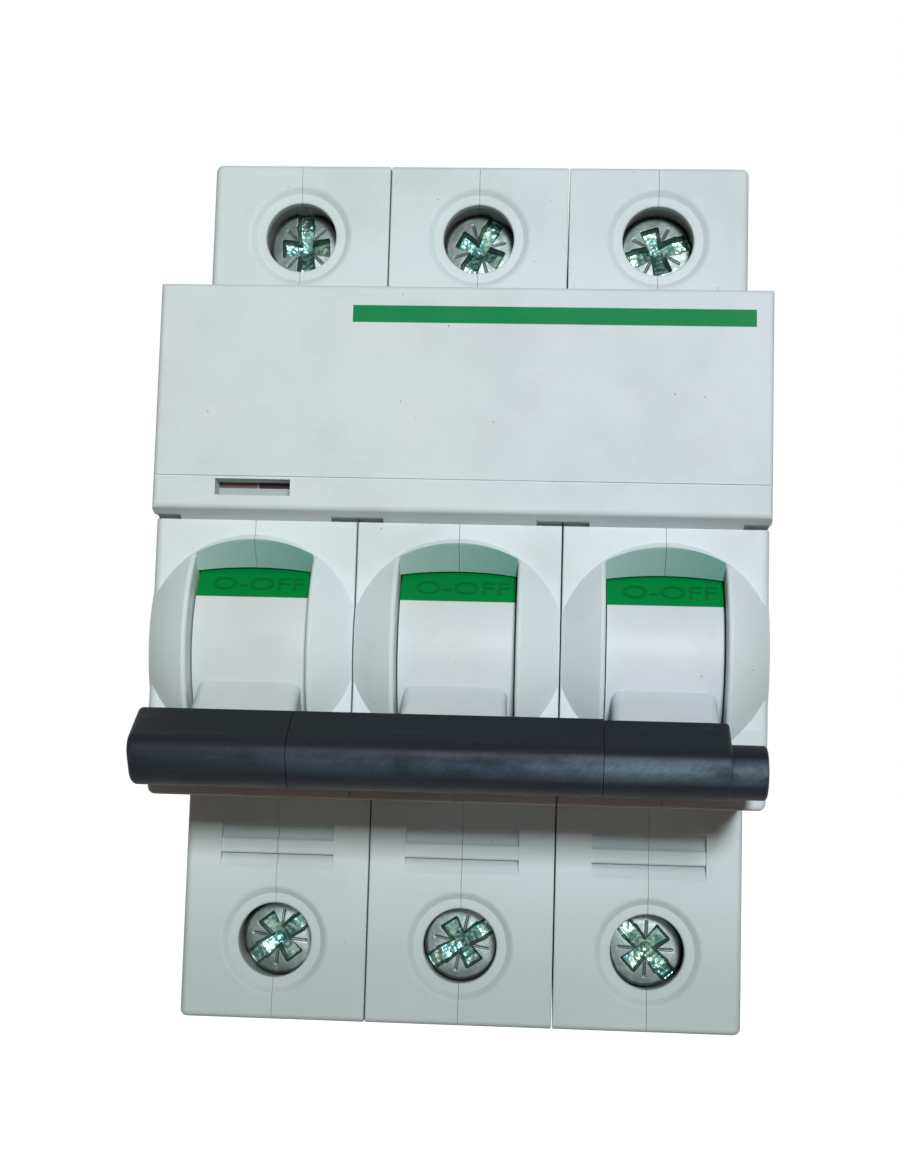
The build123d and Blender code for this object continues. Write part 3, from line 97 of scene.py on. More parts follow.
class NodeTree:
    """The nodes of one material or world, and the ways to add to them."""

    def __init__(self, tree: bpy.types.NodeTree) -> None:
        """Takes hold of Blender's own tree."""
        self.tree = tree

    def fill(self, node: bpy.types.Node, inputs: dict[int | str, SocketValue]) -> None:
        """Fills or links a node's inputs.

        Args:
            node: The node.
            inputs: What each input takes, by number or name.
        """
        for key, value in inputs.items():
            if isinstance(value, Socket):
                self.tree.links.new(value, node.inputs[key])
            else:
                node.inputs[key].default_value = linear(value) if isinstance(value, str) else value

    def add(
        self,
        kind: str,
        inputs: dict[int | str, SocketValue] | None = None,
        output: int | str = 0,
        **settings: object,
    ) -> Socket:
        """Adds one node, with its settings made and its inputs filled or linked.

        Args:
            kind: Blender's name of the node's type, less the word ShaderNode.
            inputs: What each input takes, by number or name.
            output: The output to hand back, by number or name.
            **settings: Properties of the node itself.

        Returns:
            The node's chosen output.
        """
        node = self.tree.nodes.new(f"ShaderNode{kind}")
        for setting, value in settings.items():
            setattr(node, setting, value)
        self.fill(node, inputs or {})
        return node.outputs[output]

    def first(self, kind: str) -> bpy.types.Node:
        """The tree's first node of one type."""
        return next(node for node in self.tree.nodes if node.type == kind)

    def calc(self, operation: str, *values: SocketValue) -> Socket:
        """One step of arithmetic on its values in order, by Blender's name of the step."""
        return self.add("Math", dict(enumerate(values)), operation=operation)

    def product(self, *masks: SocketValue) -> SocketValue:
        """Multiplies several masks together.

        Args:
            *masks: The masks, or plain shares.

        Returns:
            Their product.
        """
        total, *others = masks
        for mask in others:
            total = self.calc("MULTIPLY", total, mask)
        return total

    def between(self, mask: Socket, none: float, full: float) -> Socket:
        """Values that follow a mask: one where it is 0, another where it is 1."""
        return self.add("MapRange", {0: mask, 3: none, 4: full})

    def mix(self, mask: SocketValue, under: SocketValue, over: SocketValue) -> Socket:
        """One colour where a mask is 0, and another over it where the mask is 1."""
        return self.add("Mix", {0: mask, 6: under, 7: over}, 2, data_type="RGBA")

    def seen(self) -> Socket:
        """Tells what is shown to the eye from light on its way between things.

        Returns:
            1 for rays to the eye, straight, mirrored or through glass, and 0 for all others.
        """
        rays = self.add("LightPath").node.outputs
        direct = self.calc("MAXIMUM", rays["Is Camera Ray"], rays["Is Glossy Ray"])
        return self.calc("MAXIMUM", direct, rays["Is Transmission Ray"])


class Sheet(NodeTree):
    """The node tree of one material, with its shader and its coordinates at hand."""

    def __init__(self, name: str) -> None:
        """Makes a material that holds one Principled shader.

        Args:
            name: The material's name.
        """
        self.material = bpy.data.materials.new(name)
        self.material.use_nodes = True
        super().__init__(self.material.node_tree)
        self.shader = self.first("BSDF_PRINCIPLED")
        self.place = self.add("TexCoord", output="Object")

    def dress(self, **inputs: SocketValue) -> bpy.types.Material:
        """Fills the shader's inputs, named with underscores for spaces, and hands back the material."""
        self.fill(self.shader, {name.replace("_", " "): value for name, value in inputs.items()})
        return self.material

    def along(self, axis: int) -> Socket:
        """The place along X, Y or Z, for an axis of 0, 1 or 2, in metres."""
        return self.add("SeparateXYZ", {0: self.place}, axis)

    def off_middle(self) -> Socket:
        """How far a place lies to the right of the middle of its pole, in metres."""
        half = POLE_PITCH / 2 * MM
        return self.calc("WRAP", self.along(0), -half, half)

    def span(self, axis: int, low: float, high: float, soft: float = 0.04) -> SocketValue:
        """A mask that is 1 between two places along one axis.

        Args:
            axis: 0, 1 or 2 for X, Y or Z.
            low: Where it begins.
            high: Where it ends.
            soft: Width of its edges.

        Returns:
            The mask, 0 to 1.
        """
        along, half = self.along(axis), soft / 2 * MM
        rise = self.add("MapRange", {0: along, 1: low * MM - half, 2: low * MM + half})
        fall = self.add("MapRange", {0: along, 1: high * MM + half, 2: high * MM - half})
        return self.product(rise, fall)

    def fade(self, axis: int, none: float, full: float) -> Socket:
        """A mask that grows from 0 at one place along an axis to 1 at another, and holds beyond it."""
        ends = {0: self.along(axis), 1: none * MM, 2: full * MM}
        return self.add("MapRange", ends, interpolation_type="SMOOTHSTEP")

    def noise(self, size: float, detail: float = 2.0, output: int = 0) -> Socket:
        """Plain noise with lumps of one size, and finer ones in it by the detail."""
        lumps = {"Vector": self.place, "Scale": 1 / (size * MM), "Detail": detail}
        return self.add("TexNoise", lumps, output)

    def grains(self, pitch: float, size: float, share: float) -> SocketValue:
        """A mask of small separate grains, in some of the cells of a Voronoi pattern.

        Args:
            pitch: Size of a cell.
            size: Radius of a grain.
            share: Share of the cells that hold one.

        Returns:
            The mask, 0 to 1.
        """
        bend = {0: self.noise(2 * size, output=1), 1: (size * MM,) * 3, 2: self.place}
        bent = self.add("VectorMath", bend, operation="MULTIPLY_ADD")
        cells = self.add("TexVoronoi", {"Vector": bent, "Scale": 1 / (pitch * MM)})
        lot = self.add("SeparateColor", {0: cells.node.outputs["Color"]})
        near = self.add("MapRange", {0: cells, 1: size / pitch, 2: GRAIN_CORE * size / pitch})
        return self.product(near, self.calc("LESS_THAN", lot, share))

    def relief(self, height: SocketValue, depth: float, strength: float = 1.0, **more: Socket) -> Socket:
        """The surface's direction, tilted by heights from 0 to 1 that stand for a depth."""
        return self.add("Bump", {"Strength": strength, "Distance": depth * MM, "Height": height, **more})


class Finish(Protocol):
    """What every finish offers: a name, and a material made from its fields."""

    @property
    def name(self) -> str:
        """The material's name."""

    def material(self) -> bpy.types.Material:
        """Makes the material."""


class Shade(Protocol):
    """What every mark, stain, print, painted shade or painted highlight on a plastic offers: its colour, and
    where it lies.
    """

    @property
    def colour(self) -> str:
        """The mark's own colour."""

    def mask(self, sheet: Sheet) -> SocketValue:
        """Makes the mask in a material's tree: 0 for clean plastic, up to 1 where the mark covers it."""


@dataclass(frozen=True)
class Cloud:
    """Soft uneven patches.

    Attributes:
        size: How far apart they lie.
        low: Noise value where a patch begins.
        high: Noise value where it is full.
        stretch: How much longer they are along each axis.
        turn_deg: How far they are then turned about Y.
        detail: How many times finer noise is laid over them.
        fineness: Strength of each finer noise beside the one before.
    """

    size: float
    low: float
    high: float
    stretch: tuple[float, float, float] = (1.0, 1.0, 1.0)
    turn_deg: float = 0.0
    detail: float = 4.0
    fineness: float = 0.6

    def mask(self, sheet: Sheet) -> Socket:
        """Makes the mask.

        Args:
            sheet: The material's tree.

        Returns:
            The mask, 0 outside the patches and 1 where they are full.
        """
        turned = sheet.add("Mapping", {0: sheet.place, "Rotation": (0.0, math.radians(self.turn_deg), 0.0)})
        place = sheet.add("Mapping", {0: turned, "Scale": [1 / (s * self.size * MM) for s in self.stretch]})
        lumps = {"Vector": place, "Scale": 1.0, "Detail": self.detail, "Roughness": self.fineness}
        noise = sheet.add("TexNoise", lumps)
        return sheet.add("MapRange", {0: noise, 1: self.low, 2: self.high}, interpolation_type="SMOOTHSTEP")


@dataclass(frozen=True)
class PrintAndShadeStripe:
    """A rectangular stripe seen from the front, used for pad-printed ink and for painted shadow.

    Attributes:
        left: Where it starts along X.
        right: Where it ends along X.
        bottom: Its lower edge.
        top: Its upper edge.
        colour: Of the ink, or of the painted shadow.
    """

    left: float
    right: float
    bottom: float
    top: float
    colour: str

    def mask(self, sheet: Sheet) -> SocketValue:
        """Makes the mask: a rectangle from the front."""
        return sheet.product(sheet.span(0, self.left, self.right), sheet.span(2, self.bottom, self.top))


@dataclass(frozen=True)
class PaintedShadeHollow:
    """Round hollows with the same centres in every pole, darkened with painted shade where their walls lie in
    shadow.

    Attributes:
        heights: Heights of the hollows' middles.
        radius: The painted shade reaches this far from a middle.
        depths: Where the painted shade begins along Y, and where it is full. It goes on from there to the
            rear.
        colour: Of the painted shade.
        share: How much it covers.
    """

    heights: tuple[float, ...]
    radius: float
    depths: tuple[float, float]
    colour: str
    share: float

    def mask(self, sheet: Sheet) -> SocketValue:
        """Makes the mask: near any hollow's axis, and behind its mouth.

        Args:
            sheet: The material's tree.

        Returns:
            The mask, 0 to the share.
        """
        up, side = sheet.along(2), sheet.off_middle()
        near: SocketValue = 0.0
        for height in self.heights:
            rise = sheet.calc("SUBTRACT", up, height * MM)
            flat = sheet.add("CombineXYZ", {0: side, 2: rise})
            away = sheet.add("VectorMath", {0: flat}, "Value", operation="LENGTH")
            near = sheet.calc("MAXIMUM", sheet.calc("LESS_THAN", away, self.radius * MM), near)
        return sheet.product(near, sheet.fade(1, *self.depths), self.share)


@dataclass(frozen=True)
class PaintedShadeSlope:
    """A slope with the same place in every pole, darkened and tinted green with painted shade and a painted
    reflection of the green band below.

    Its height is level - slope * y - sagitta * (x / half_width)², with x from the middle of a pole.

    Attributes:
        level: Height that the slope would have at the origin's depth.
        slope: How far it falls for each millimetre to the rear.
        sagitta: How much lower its sides are than its middle.
        half_width: Of the slope.
        near: How far from the slope the painted shade still reaches.
        depths: Where the painted shade begins and ends along Y.
        soft: Width of its edges there.
        colour: Of the painted shade and reflection.
        left_share: How much it covers at the left side.
        right_share: How much at the right side, where it also stands in for the shadow of the well's right
            wall.
    """

    level: float
    slope: float
    sagitta: float
    half_width: float
    near: float
    depths: tuple[float, float]
    soft: float
    colour: str
    left_share: float
    right_share: float

    def mask(self, sheet: Sheet) -> SocketValue:
        """Makes the mask: on the slope, and growing from its left side to its right.

        Args:
            sheet: The material's tree.

        Returns:
            The mask, 0 to the shares.
        """
        side, reach = sheet.off_middle(), self.half_width * MM
        bulge = self.sagitta / (self.half_width**2 * MM)
        sunk = sheet.calc("MULTIPLY_ADD", sheet.product(side, side), bulge, sheet.along(2))
        height = sheet.calc("MULTIPLY_ADD", sheet.along(1), self.slope, sunk)
        on = sheet.calc("COMPARE", height, self.level * MM, self.near * MM)
        inside = sheet.calc("COMPARE", side, 0.0, reach)
        ends = {0: side, 1: -reach, 2: reach, 3: self.left_share, 4: self.right_share}
        return sheet.product(on, inside, sheet.span(1, *self.depths, self.soft), sheet.add("MapRange", ends))


@dataclass(frozen=True)
class PaintedShadePocket:
    """Rectangular pockets with the same place in every pole, with painted shade that grows towards their upper
    edge.

    Attributes:
        half_width: Of a pocket.
        floors: For each pocket, the height where the painted shade ends and the height of its upper edge.
        depths: Where the painted shade begins along Y, and where it is full.
        colour: Of the painted shade.
        share: How much it covers at the upper edge.
    """

    half_width: float
    floors: tuple[tuple[float, float], ...]
    depths: tuple[float, float]
    colour: str
    share: float

    def mask(self, sheet: Sheet) -> SocketValue:
        """Makes the mask: behind the mouth, and growing to each pocket's upper edge.

        Args:
            sheet: The material's tree.

        Returns:
            The mask, 0 to the share.
        """
        inside = sheet.calc("COMPARE", sheet.off_middle(), 0.0, self.half_width * MM)
        held: SocketValue = 0.0
        for floor in self.floors:
            grown = sheet.product(sheet.fade(2, *floor), sheet.span(2, *floor))
            held = sheet.calc("MAXIMUM", grown, held)
        return sheet.product(held, inside, sheet.fade(1, *self.depths), self.share)


@dataclass(frozen=True)
class PaintedSheenBand:
    """A band across a piece, lighter with a painted highlight that stands in for the lamp's sheen on its
    rounded face, with short slanting scratches.

    Attributes:
        bottom: Its lower edge.
        top: Its upper edge.
        soft: Width of its edges.
        colour: Of the painted highlight.
        left_share: How far it covers the rest at its left end.
        right_share: How far at its right end, where the painted highlight is brightest.
        ends: Where the left and the right end lie along X.
        streaks: The scratches.
        faint: What is left of the painted highlight between them.
        uneven: Where the painted highlight is.
    """

    bottom: float
    top: float
    soft: float
    colour: str
    left_share: float
    right_share: float
    ends: tuple[float, float]
    streaks: Cloud = Cloud(0.18, 0.3, 0.75, (5.0, 5.0, 1.0), 35.0)
    faint: float = 0.7
    uneven: Cloud = Cloud(9.0, 0.25, 0.6, (1.0, 1.0, 0.5))

    def mask(self, sheet: Sheet) -> SocketValue:
        """Makes the mask: the band, uneven along its length and streaked.

        Args:
            sheet: The material's tree.

        Returns:
            The mask, 0 to the shares.
        """
        streaked = sheet.between(self.streaks.mask(sheet), self.faint, 1.0)
        share = sheet.between(sheet.fade(0, *self.ends), self.left_share, self.right_share)
        band = sheet.span(2, self.bottom, self.top, self.soft)
        return sheet.product(band, self.uneven.mask(sheet), streaked, share)


@dataclass(frozen=True)
class MouldedPlastic:
    """Injection-moulded thermoplastic from a spark-eroded mould: matt, faintly grained, a little dusty.

    Attributes:
        name: Material's name.
        colour: Clean plastic at the left of the object.
        far_colour: Clean plastic at the right, a little cooler or warmer, its lightness set as painted shade
            that evens out how the lamp lights the object from left to right.
        dull: Patches that handling has dulled.
        speck: Dust and soot grains.
        roughness: Of the clean surface.
        spread: How much rougher the dull patches are.
        gloss: The shader's specular level.
        dulling: How far the patches cover the clean colour.
        patches: Where they lie.
        speck_share: Share of the fine grains' cells that hold one. Of the coarse ones' cells, half as many do.
        specks: Size of the cells and radius of the grains, for fine and for coarse grains.
        scuff: How strong the fine light or dark rubs are.
        scuff_colour: Colour of the rubs.
        rubs: Where they lie.
        grain_size: Width of the mould's grain. The real 0.05 mm is too fine to show, so it is drawn coarser.
        grain_depth: Its depth.
        foot: Heights where painted shade, for the lamp's light falling off downwards, starts to darken the
            plastic and where it is darkest, if it does.
        foot_colour: The painted shade's colour there.
        marks: Printed stripes, and painted highlight bands and painted shadows, under the grains.
        dirt: Painted shade in hollows and recesses, over everything.
    """

    name: str
    colour: str
    far_colour: str
    dull: str
    speck: str = "#6a6862"
    roughness: float = 0.5
    spread: float = 0.12
    gloss: float = 0.22
    dulling: float = 0.5
    patches: Cloud = Cloud(11.0, 0.42, 0.72)
    speck_share: float = 0.2
    specks: tuple[tuple[float, float], ...] = ((1.4, 0.08), (5.0, 0.18))
    scuff: float = 0.1
    scuff_colour: str = "#b6b8b5"
    rubs: Cloud = Cloud(2.2, 0.6, 0.72, (3.0, 1.0, 0.5))
    grain_size: float = 0.3
    grain_depth: float = 0.008
    foot: tuple[float, float] | None = None
    foot_colour: str = "#a4aca9"
    marks: tuple[Shade, ...] = ()
    dirt: tuple[Shade, ...] = ()

    def material(self) -> bpy.types.Material:
        """Makes the material: tint across the object with painted shade in it, painted shade towards the
        bottom, patches, rubs, marks, grains, painted shade in hollows and mould grain.

        Returns:
            The material.
        """
        sheet = Sheet(self.name)
        half = max(-CAD_BOX[0].x, CAD_BOX[1].x) / MM
        # painted shade: the tone from left to right also evens out the lamp's light across the object
        colour = sheet.mix(sheet.fade(0, -half, half), self.colour, self.far_colour)
        # painted shade towards the bottom, for the lamp's light falling off
        if self.foot:
            colour = sheet.mix(sheet.fade(2, *self.foot), colour, self.foot_colour)
        patches = self.patches.mask(sheet)
        colour = sheet.mix(sheet.product(patches, self.dulling), colour, self.dull)
        colour = sheet.mix(sheet.product(self.rubs.mask(sheet), self.scuff), colour, self.scuff_colour)
        # printed stripes, and painted highlights and painted shadows laid the same way
        for shade in self.marks:
            colour = sheet.mix(shade.mask(sheet), colour, shade.colour)
        for rarity, (pitch, size) in enumerate(self.specks, 1):
            colour = sheet.mix(sheet.grains(pitch, size, self.speck_share / rarity), colour, self.speck)
        # painted shade in hollows and recesses
        for shade in self.dirt:
            colour = sheet.mix(shade.mask(sheet), colour, shade.colour)
        rough = sheet.between(patches, self.roughness, self.roughness + self.spread)
        relief = sheet.relief(sheet.noise(self.grain_size), self.grain_depth)
        return sheet.dress(Base_Color=colour, Roughness=rough, Specular_IOR_Level=self.gloss, Normal=relief)


@dataclass(frozen=True)
class PlatedSteel:
    """Steel plated with zinc and passivated: a grey mirror gone milky, with a thin film that tints it.

    Attributes:
        name: Material's name.
        colour: The plating.
        film: Tint of the film in patches.
        second_film: Another tint, where the film is thicker.
        roughness: Of the plating.
        film_share: How strongly the film tints the plating.
        spread: How much rougher the smears are.
        films: Where the film lies.
        thicker: Where it is thicker.
        smears: Where it is smeared.
        pit: Colour of small dark pits.
        pits: Size of the cells that hold one, their radius and their share.
        lines: Spacing and depth of the fine lines in the relief.
    """

    name: str
    colour: str = "#9a9ea0"
    film: str = "#8fa39c"
    second_film: str = "#a39aa6"
    roughness: float = 0.3
    film_share: float = 0.5
    spread: float = 0.15
    films: Cloud = Cloud(2.5, 0.35, 0.7)
    thicker: Cloud = Cloud(1.1, 0.4, 0.62)
    smears: Cloud = Cloud(0.8, 0.3, 0.7)
    pit: str = "#3f4140"
    pits: tuple[float, float, float] = (0.5, 0.05, 0.3)
    lines: tuple[float, float] = (0.3, 0.02)

    def material(self) -> bpy.types.Material:
        """Makes the material: plating, film in patches, pits and fine lines.

        Returns:
            The material.
        """
        sheet = Sheet(self.name)
        tint = sheet.mix(self.thicker.mask(sheet), self.film, self.second_film)
        colour = sheet.mix(sheet.product(self.films.mask(sheet), self.film_share), self.colour, tint)
        colour = sheet.mix(sheet.grains(*self.pits), colour, self.pit)
        rough = sheet.between(self.smears.mask(sheet), self.roughness, self.roughness + self.spread)
        spacing, depth = self.lines
        relief = sheet.relief(sheet.noise(spacing, detail=3.0), depth)
        return sheet.dress(Base_Color=colour, Metallic=1.0, Roughness=rough, Normal=relief)


@dataclass(frozen=True)
class IridescentPlate:
    """Zinc plate whose passivation film is thin on open faces and thick in hollows, where it turns green.

    Attributes:
        name: Material's name.
        open_face: Dull grey plate on the open faces.
        open_blush: Patches of them, a little lighter.
        blushes: Where these patches lie.
        thin: The film's first colour in the hollows.
        thick: Its second colour.
        thicker: Where it has the second.
        thickest: Its third, in small spots.
        spots: Where it has the third.
        hollow_depths: Where the hollows begin along Y, and where they are full.
        facet_size: Size of the plate's crystals.
        facet_depth: How far they tilt the surface in the hollows.
        facet_strength: How much of that tilt shows.
        rubs: Scratches on the open faces.
        crossing: Other scratches across them.
        scratch_depth: Their depth.
        scratch_strength: How much of it shows.
        roughness: Of the plate in the hollows.
        open_roughness: Of the open faces, which drivers have rubbed dull.
        smears: Where the plate is rougher.
        spread: How much rougher.
        bare_share: How much of the surface is metal that the film doesn't cloud.
    """

    name: str
    open_face: str = "#64726f"
    open_blush: str = "#818d8b"
    blushes: Cloud = Cloud(1.8, 0.45, 0.7)
    thin: str = "#55807c"
    thick: str = "#8fae9c"
    thicker: Cloud = Cloud(1.3, 0.42, 0.58)
    thickest: str = "#aea4ba"
    spots: Cloud = Cloud(0.9, 0.6, 0.7)
    hollow_depths: tuple[float, float] = (-39.6, -39.1)
    facet_size: float = 0.5
    facet_depth: float = 0.1
    facet_strength: float = 0.6
    rubs: Cloud = Cloud(0.12, 0.35, 0.7, (14.0, 1.0, 1.0), 28.0)
    crossing: Cloud = Cloud(0.12, 0.4, 0.75, (14.0, 1.0, 1.0), -64.0)
    scratch_depth: float = 0.008
    scratch_strength: float = 0.5
    roughness: float = 0.2
    open_roughness: float = 0.36
    smears: Cloud = Cloud(0.8, 0.3, 0.7)
    spread: float = 0.14
    bare_share: float = 0.8

    def material(self) -> bpy.types.Material:
        """Makes the material: film colours by depth and patch, crystals and scratches in the relief.

        Returns:
            The material.
        """
        sheet = Sheet(self.name)
        film = sheet.mix(self.thicker.mask(sheet), self.thin, self.thick)
        film = sheet.mix(self.spots.mask(sheet), film, self.thickest)
        blush = sheet.mix(self.blushes.mask(sheet), self.open_face, self.open_blush)
        depth = sheet.fade(1, *self.hollow_depths)
        colour = sheet.mix(depth, blush, film)
        crystals = sheet.add("TexVoronoi", {"Vector": sheet.place, "Scale": 1 / (self.facet_size * MM)})
        facets = sheet.relief(sheet.product(crystals, depth), self.facet_depth, self.facet_strength)
        scratched = sheet.calc("ADD", self.rubs.mask(sheet), self.crossing.mask(sheet))
        relief = sheet.relief(scratched, self.scratch_depth, self.scratch_strength, Normal=facets)
        worn = sheet.between(depth, self.open_roughness, self.roughness)
        rough = sheet.calc("MULTIPLY_ADD", self.smears.mask(sheet), self.spread, worn)
        return sheet.dress(Base_Color=colour, Metallic=self.bare_share, Roughness=rough, Normal=relief)


@dataclass(frozen=True)
class DrawnMetal:
    """Copper or silver as it was drawn or stamped: bright, with tarnish and lines along the work.

    Attributes:
        name: Material's name.
        colour: The clean metal.
        tarnish: The tarnished metal.
        roughness: Of the clean metal.
        spread: How much rougher the tarnish is.
        patches: Where it lies.
        lines: The lines.
        line_depth: Their depth.
    """

    name: str
    colour: str
    tarnish: str
    roughness: float = 0.28
    spread: float = 0.25
    patches: Cloud = Cloud(3.0, 0.4, 0.65)
    lines: Cloud = Cloud(0.3, 0.3, 0.7, (1.0, 12.0, 12.0))
    line_depth: float = 0.01

    def material(self) -> bpy.types.Material:
        """Makes the material: clean and tarnished metal, with long lines in its relief.

        Returns:
            The material.
        """
        sheet = Sheet(self.name)
        patches = self.patches.mask(sheet)
        colour = sheet.mix(patches, self.colour, self.tarnish)
        rough = sheet.between(patches, self.roughness, self.roughness + self.spread)
        relief = sheet.relief(self.lines.mask(sheet), self.line_depth)
        return sheet.dress(Base_Color=colour, Metallic=1.0, Roughness=rough, Normal=relief)


@dataclass(frozen=True)
class Enamel:
    """Copper wire under baked enamel: a glossy amber coat over a warm metal.

    Attributes:
        name: Material's name.
        colour: Seen through the thin coat.
        thick: Seen where the coat has run thick.
        runs: Where it has.
        wave: Width and depth of the coat's waves.
        metallic: How much of the metal shows.
        roughness: Of the metal.
        coat: How much the coat shines.
    """

    name: str
    colour: str = "#9a4f22"
    thick: str = "#6b2f14"
    runs: Cloud = Cloud(1.5, 0.4, 0.65)
    wave: tuple[float, float] = (0.8, 0.01)
    metallic: float = 0.7
    roughness: float = 0.25
    coat: float = 0.8

    def material(self) -> bpy.types.Material:
        """Makes the material: a coat that varies in depth over a smooth metal.

        Returns:
            The material.
        """
        sheet = Sheet(self.name)
        width, depth = self.wave
        return sheet.dress(
            Base_Color=sheet.mix(self.runs.mask(sheet), self.colour, self.thick),
            Metallic=self.metallic,
            Roughness=self.roughness,
            Coat_Weight=self.coat,
            Normal=sheet.relief(sheet.noise(width), depth),
        )


@dataclass(frozen=True)
class FibreCard:
    """Vulcanised fibre board: matt, with short felted fibres pressed flat.

    Attributes:
        name: Material's name.
        colour: The board.
        fibre: The lighter fibres.
        fibres: Where they lie.
        fibre_depth: How far they stand out.
        roughness: Of the board.
    """

    name: str
    colour: str = "#8c6f55"
    fibre: str = "#b39a7c"
    fibres: Cloud = Cloud(0.2, 0.45, 0.7, (1.0, 3.0, 1.0))
    fibre_depth: float = 0.03
    roughness: float = 0.85

    def material(self) -> bpy.types.Material:
        """Makes the material: fibres in the colour and in the relief.

        Returns:
            The material.
        """
        sheet = Sheet(self.name)
        fibres = self.fibres.mask(sheet)
        colour = sheet.mix(fibres, self.colour, self.fibre)
        relief = sheet.relief(fibres, self.fibre_depth)
        return sheet.dress(Base_Color=colour, Roughness=self.roughness, Normal=relief)


class Stock(Enum):
    """The finishes of the object, by the record's material slots."""

    case_plastic = MouldedPlastic(
        "moulded_polyamide_white",
        "#cfdedd",
        "#cddbde",
        "#c0cecd",
        # painted shade: darker towards the bottom, where the lamp's light falls off
        foot=(-24.0, -43.0),
        foot_colour="#afbfbd",
        dirt=(
            # painted shade on the walls of the terminals' hollows
            PaintedShadeHollow(
                heights=(33.6, -36.5),
                radius=4.05,
                depths=(-43.0, -42.0),
                colour="#8b877c",
                share=0.6,
            ),
            # painted shade and painted green reflection of the band on the wells' upper walls, darkest at the
            # right where the wall's shadow falls
            PaintedShadeSlope(
                level=-70.43,
                slope=1.1,
                sagitta=0.85,
                half_width=5.18,
                near=0.12,
                depths=(-64.0, -61.4),
                soft=0.3,
                colour="#6fa89c",
                left_share=0.55,
                right_share=0.95,
            ),
            # painted shade in the label pockets, darkest under their upper edges
            PaintedShadePocket(
                half_width=5.6,
                floors=((-26.7, -25.3), (-29.1, -28.2)),
                depths=(-43.95, -43.65),
                colour="#75827d",
                share=0.3,
            ),
        ),
    )
    cover_plastic = MouldedPlastic(
        "moulded_polyamide_cover",
        "#d0dcdb",
        "#cfdade",
        "#c1cbcd",
        gloss=0.1,
        marks=(PrintAndShadeStripe(-9.8, 25.4, 19.16, 20.69, "#007f46"),),
    )
    toggle_plastic = MouldedPlastic("moulded_acetal_white", "#cbd4d2", "#c9d2d8", "#bfc4c8", roughness=0.42)
    bar_plastic = MouldedPlastic(
        "moulded_nylon_slate",
        "#0e151b",
        "#0d151d",
        "#0b1117",
        speck="#4d5962",
        roughness=0.46,
        gloss=0.16,
        speck_share=0.08,
        scuff=0.3,
        scuff_colour="#27323a",
        grain_depth=0.02,
        # painted highlight along the bar's rounded face, brightest at the right end
        marks=(PaintedSheenBand(-20.0, -18.7, 1.2, "#6d8899", 0.08, 1.0, (-27.0, 25.0)),),
    )
    band_plastic = MouldedPlastic(
        "moulded_acetal_green",
        "#007d38",
        "#007f3b",
        "#006f33",
        speck="#0b5c2c",
        roughness=0.42,
        gloss=0.06,
        speck_share=0.03,
        scuff=0.05,
        scuff_colour="#2f9e56",
    )
    flag_plastic = MouldedPlastic(
        "moulded_acetal_flag",
        "#a6b0b2",
        "#a6b0b2",
        "#8f9494",
        scuff_colour="#8a7d76",
        # partly the flag's own reddish brown and partly painted shadow: its upper part is dark where the
        # window's top wall shades it, near black at the right where the right wall does
        marks=(
            PrintAndShadeStripe(-24.0, -18.0, 4.55, 8.0, "#6d5c58"),
            PrintAndShadeStripe(-17.9, -12.0, 4.55, 8.0, "#31262a"),
        ),
    )
    inner_plastic = MouldedPlastic(
        "moulded_polyester_grey", "#7d8183", "#7d8183", "#6b6f71", scuff_colour="#95989a"
    )
    card = FibreCard("vulcanised_fibre")
    zinc_steel = PlatedSteel("zinc_plated_steel")
    plain_steel = PlatedSteel("oiled_cold_rolled_steel", "#83868a", "#6f7478", "#6a6763", 0.35, 0.4)
    copper = DrawnMetal("drawn_copper", "#c77f5a", "#8a5236")
    silver = DrawnMetal("stamped_silver_nickel", "#cfcdc8", "#a8a49c", 0.3)
    enamelled_wire = Enamel("enamelled_copper_wire")


class Rack:
    """Hands out each finish's material, made once."""

    def __init__(self) -> None:
        """Starts with no materials made."""
        self._made: dict[str, bpy.types.Material] = {}

    def take(self, finish: Finish) -> bpy.types.Material:
        """Gives a finish's material.

        Args:
            finish: The finish to use.

        Returns:
            Its material, made now if it is the first time.
        """
        if finish.name not in self._made:
            self._made[finish.name] = finish.material()
        return self._made[finish.name]


# ------------------------------------------------------------------- meshes
def ease(value: np.ndarray, low: float, high: float) -> np.ndarray:
    """Rises smoothly from 0 to 1 between two values: 3t² − 2t³ of the share t of the way."""
    share = np.clip((value - low) / (high - low), 0.0, 1.0)
    return share * share * (3 - 2 * share)


def hang(name: str, data: bpy.types.ID) -> bpy.types.Object:
    """Makes an object and puts it in the scene.

    Args:
        name: Its name.
        data: Its mesh, curve, camera or light.

    Returns:
        The new object.
    """
    made = bpy.data.objects.new(name, data)
    bpy.context.collection.objects.link(made)
    return made


def turned_mesh(name: str, points: np.ndarray) -> bpy.types.Object:
    """A closed mesh from rings of points, with one point at each pole.

    Rings and columns join into quads, the last column joins the first, and each pole closes with triangles
    to the ring beside it.

    Args:
        name: The object's name.
        points: Rings by columns by 3, in metres, ordered so that faces point outwards.

    Returns:
        The new object, at the origin, with its place in its mesh.
    """
    rings, columns, _ = points.shape
    ring = points[1:-1].reshape(-1, 3)
    corners = np.vstack([ring, points[:1, 0], points[-1:, 0]])
    index = np.arange((rings - 2) * columns).reshape(rings - 2, columns)
    beside = np.roll(index, -1, axis=1)
    quads = np.stack([index[:-1], beside[:-1], beside[1:], index[1:]], axis=-1).reshape(-1, 4)
    first, last = len(ring), len(ring) + 1
    head = np.stack([beside[0], index[0], np.full(columns, first)], axis=-1)
    tail = np.stack([index[-1], beside[-1], np.full(columns, last)], axis=-1)
    mesh = bpy.data.meshes.new(name)
    mesh.from_pydata(corners.tolist(), [], quads.tolist() + head.tolist() + tail.tolist())
    mesh.shade_smooth()
    mesh.validate()
    return hang(name, mesh)


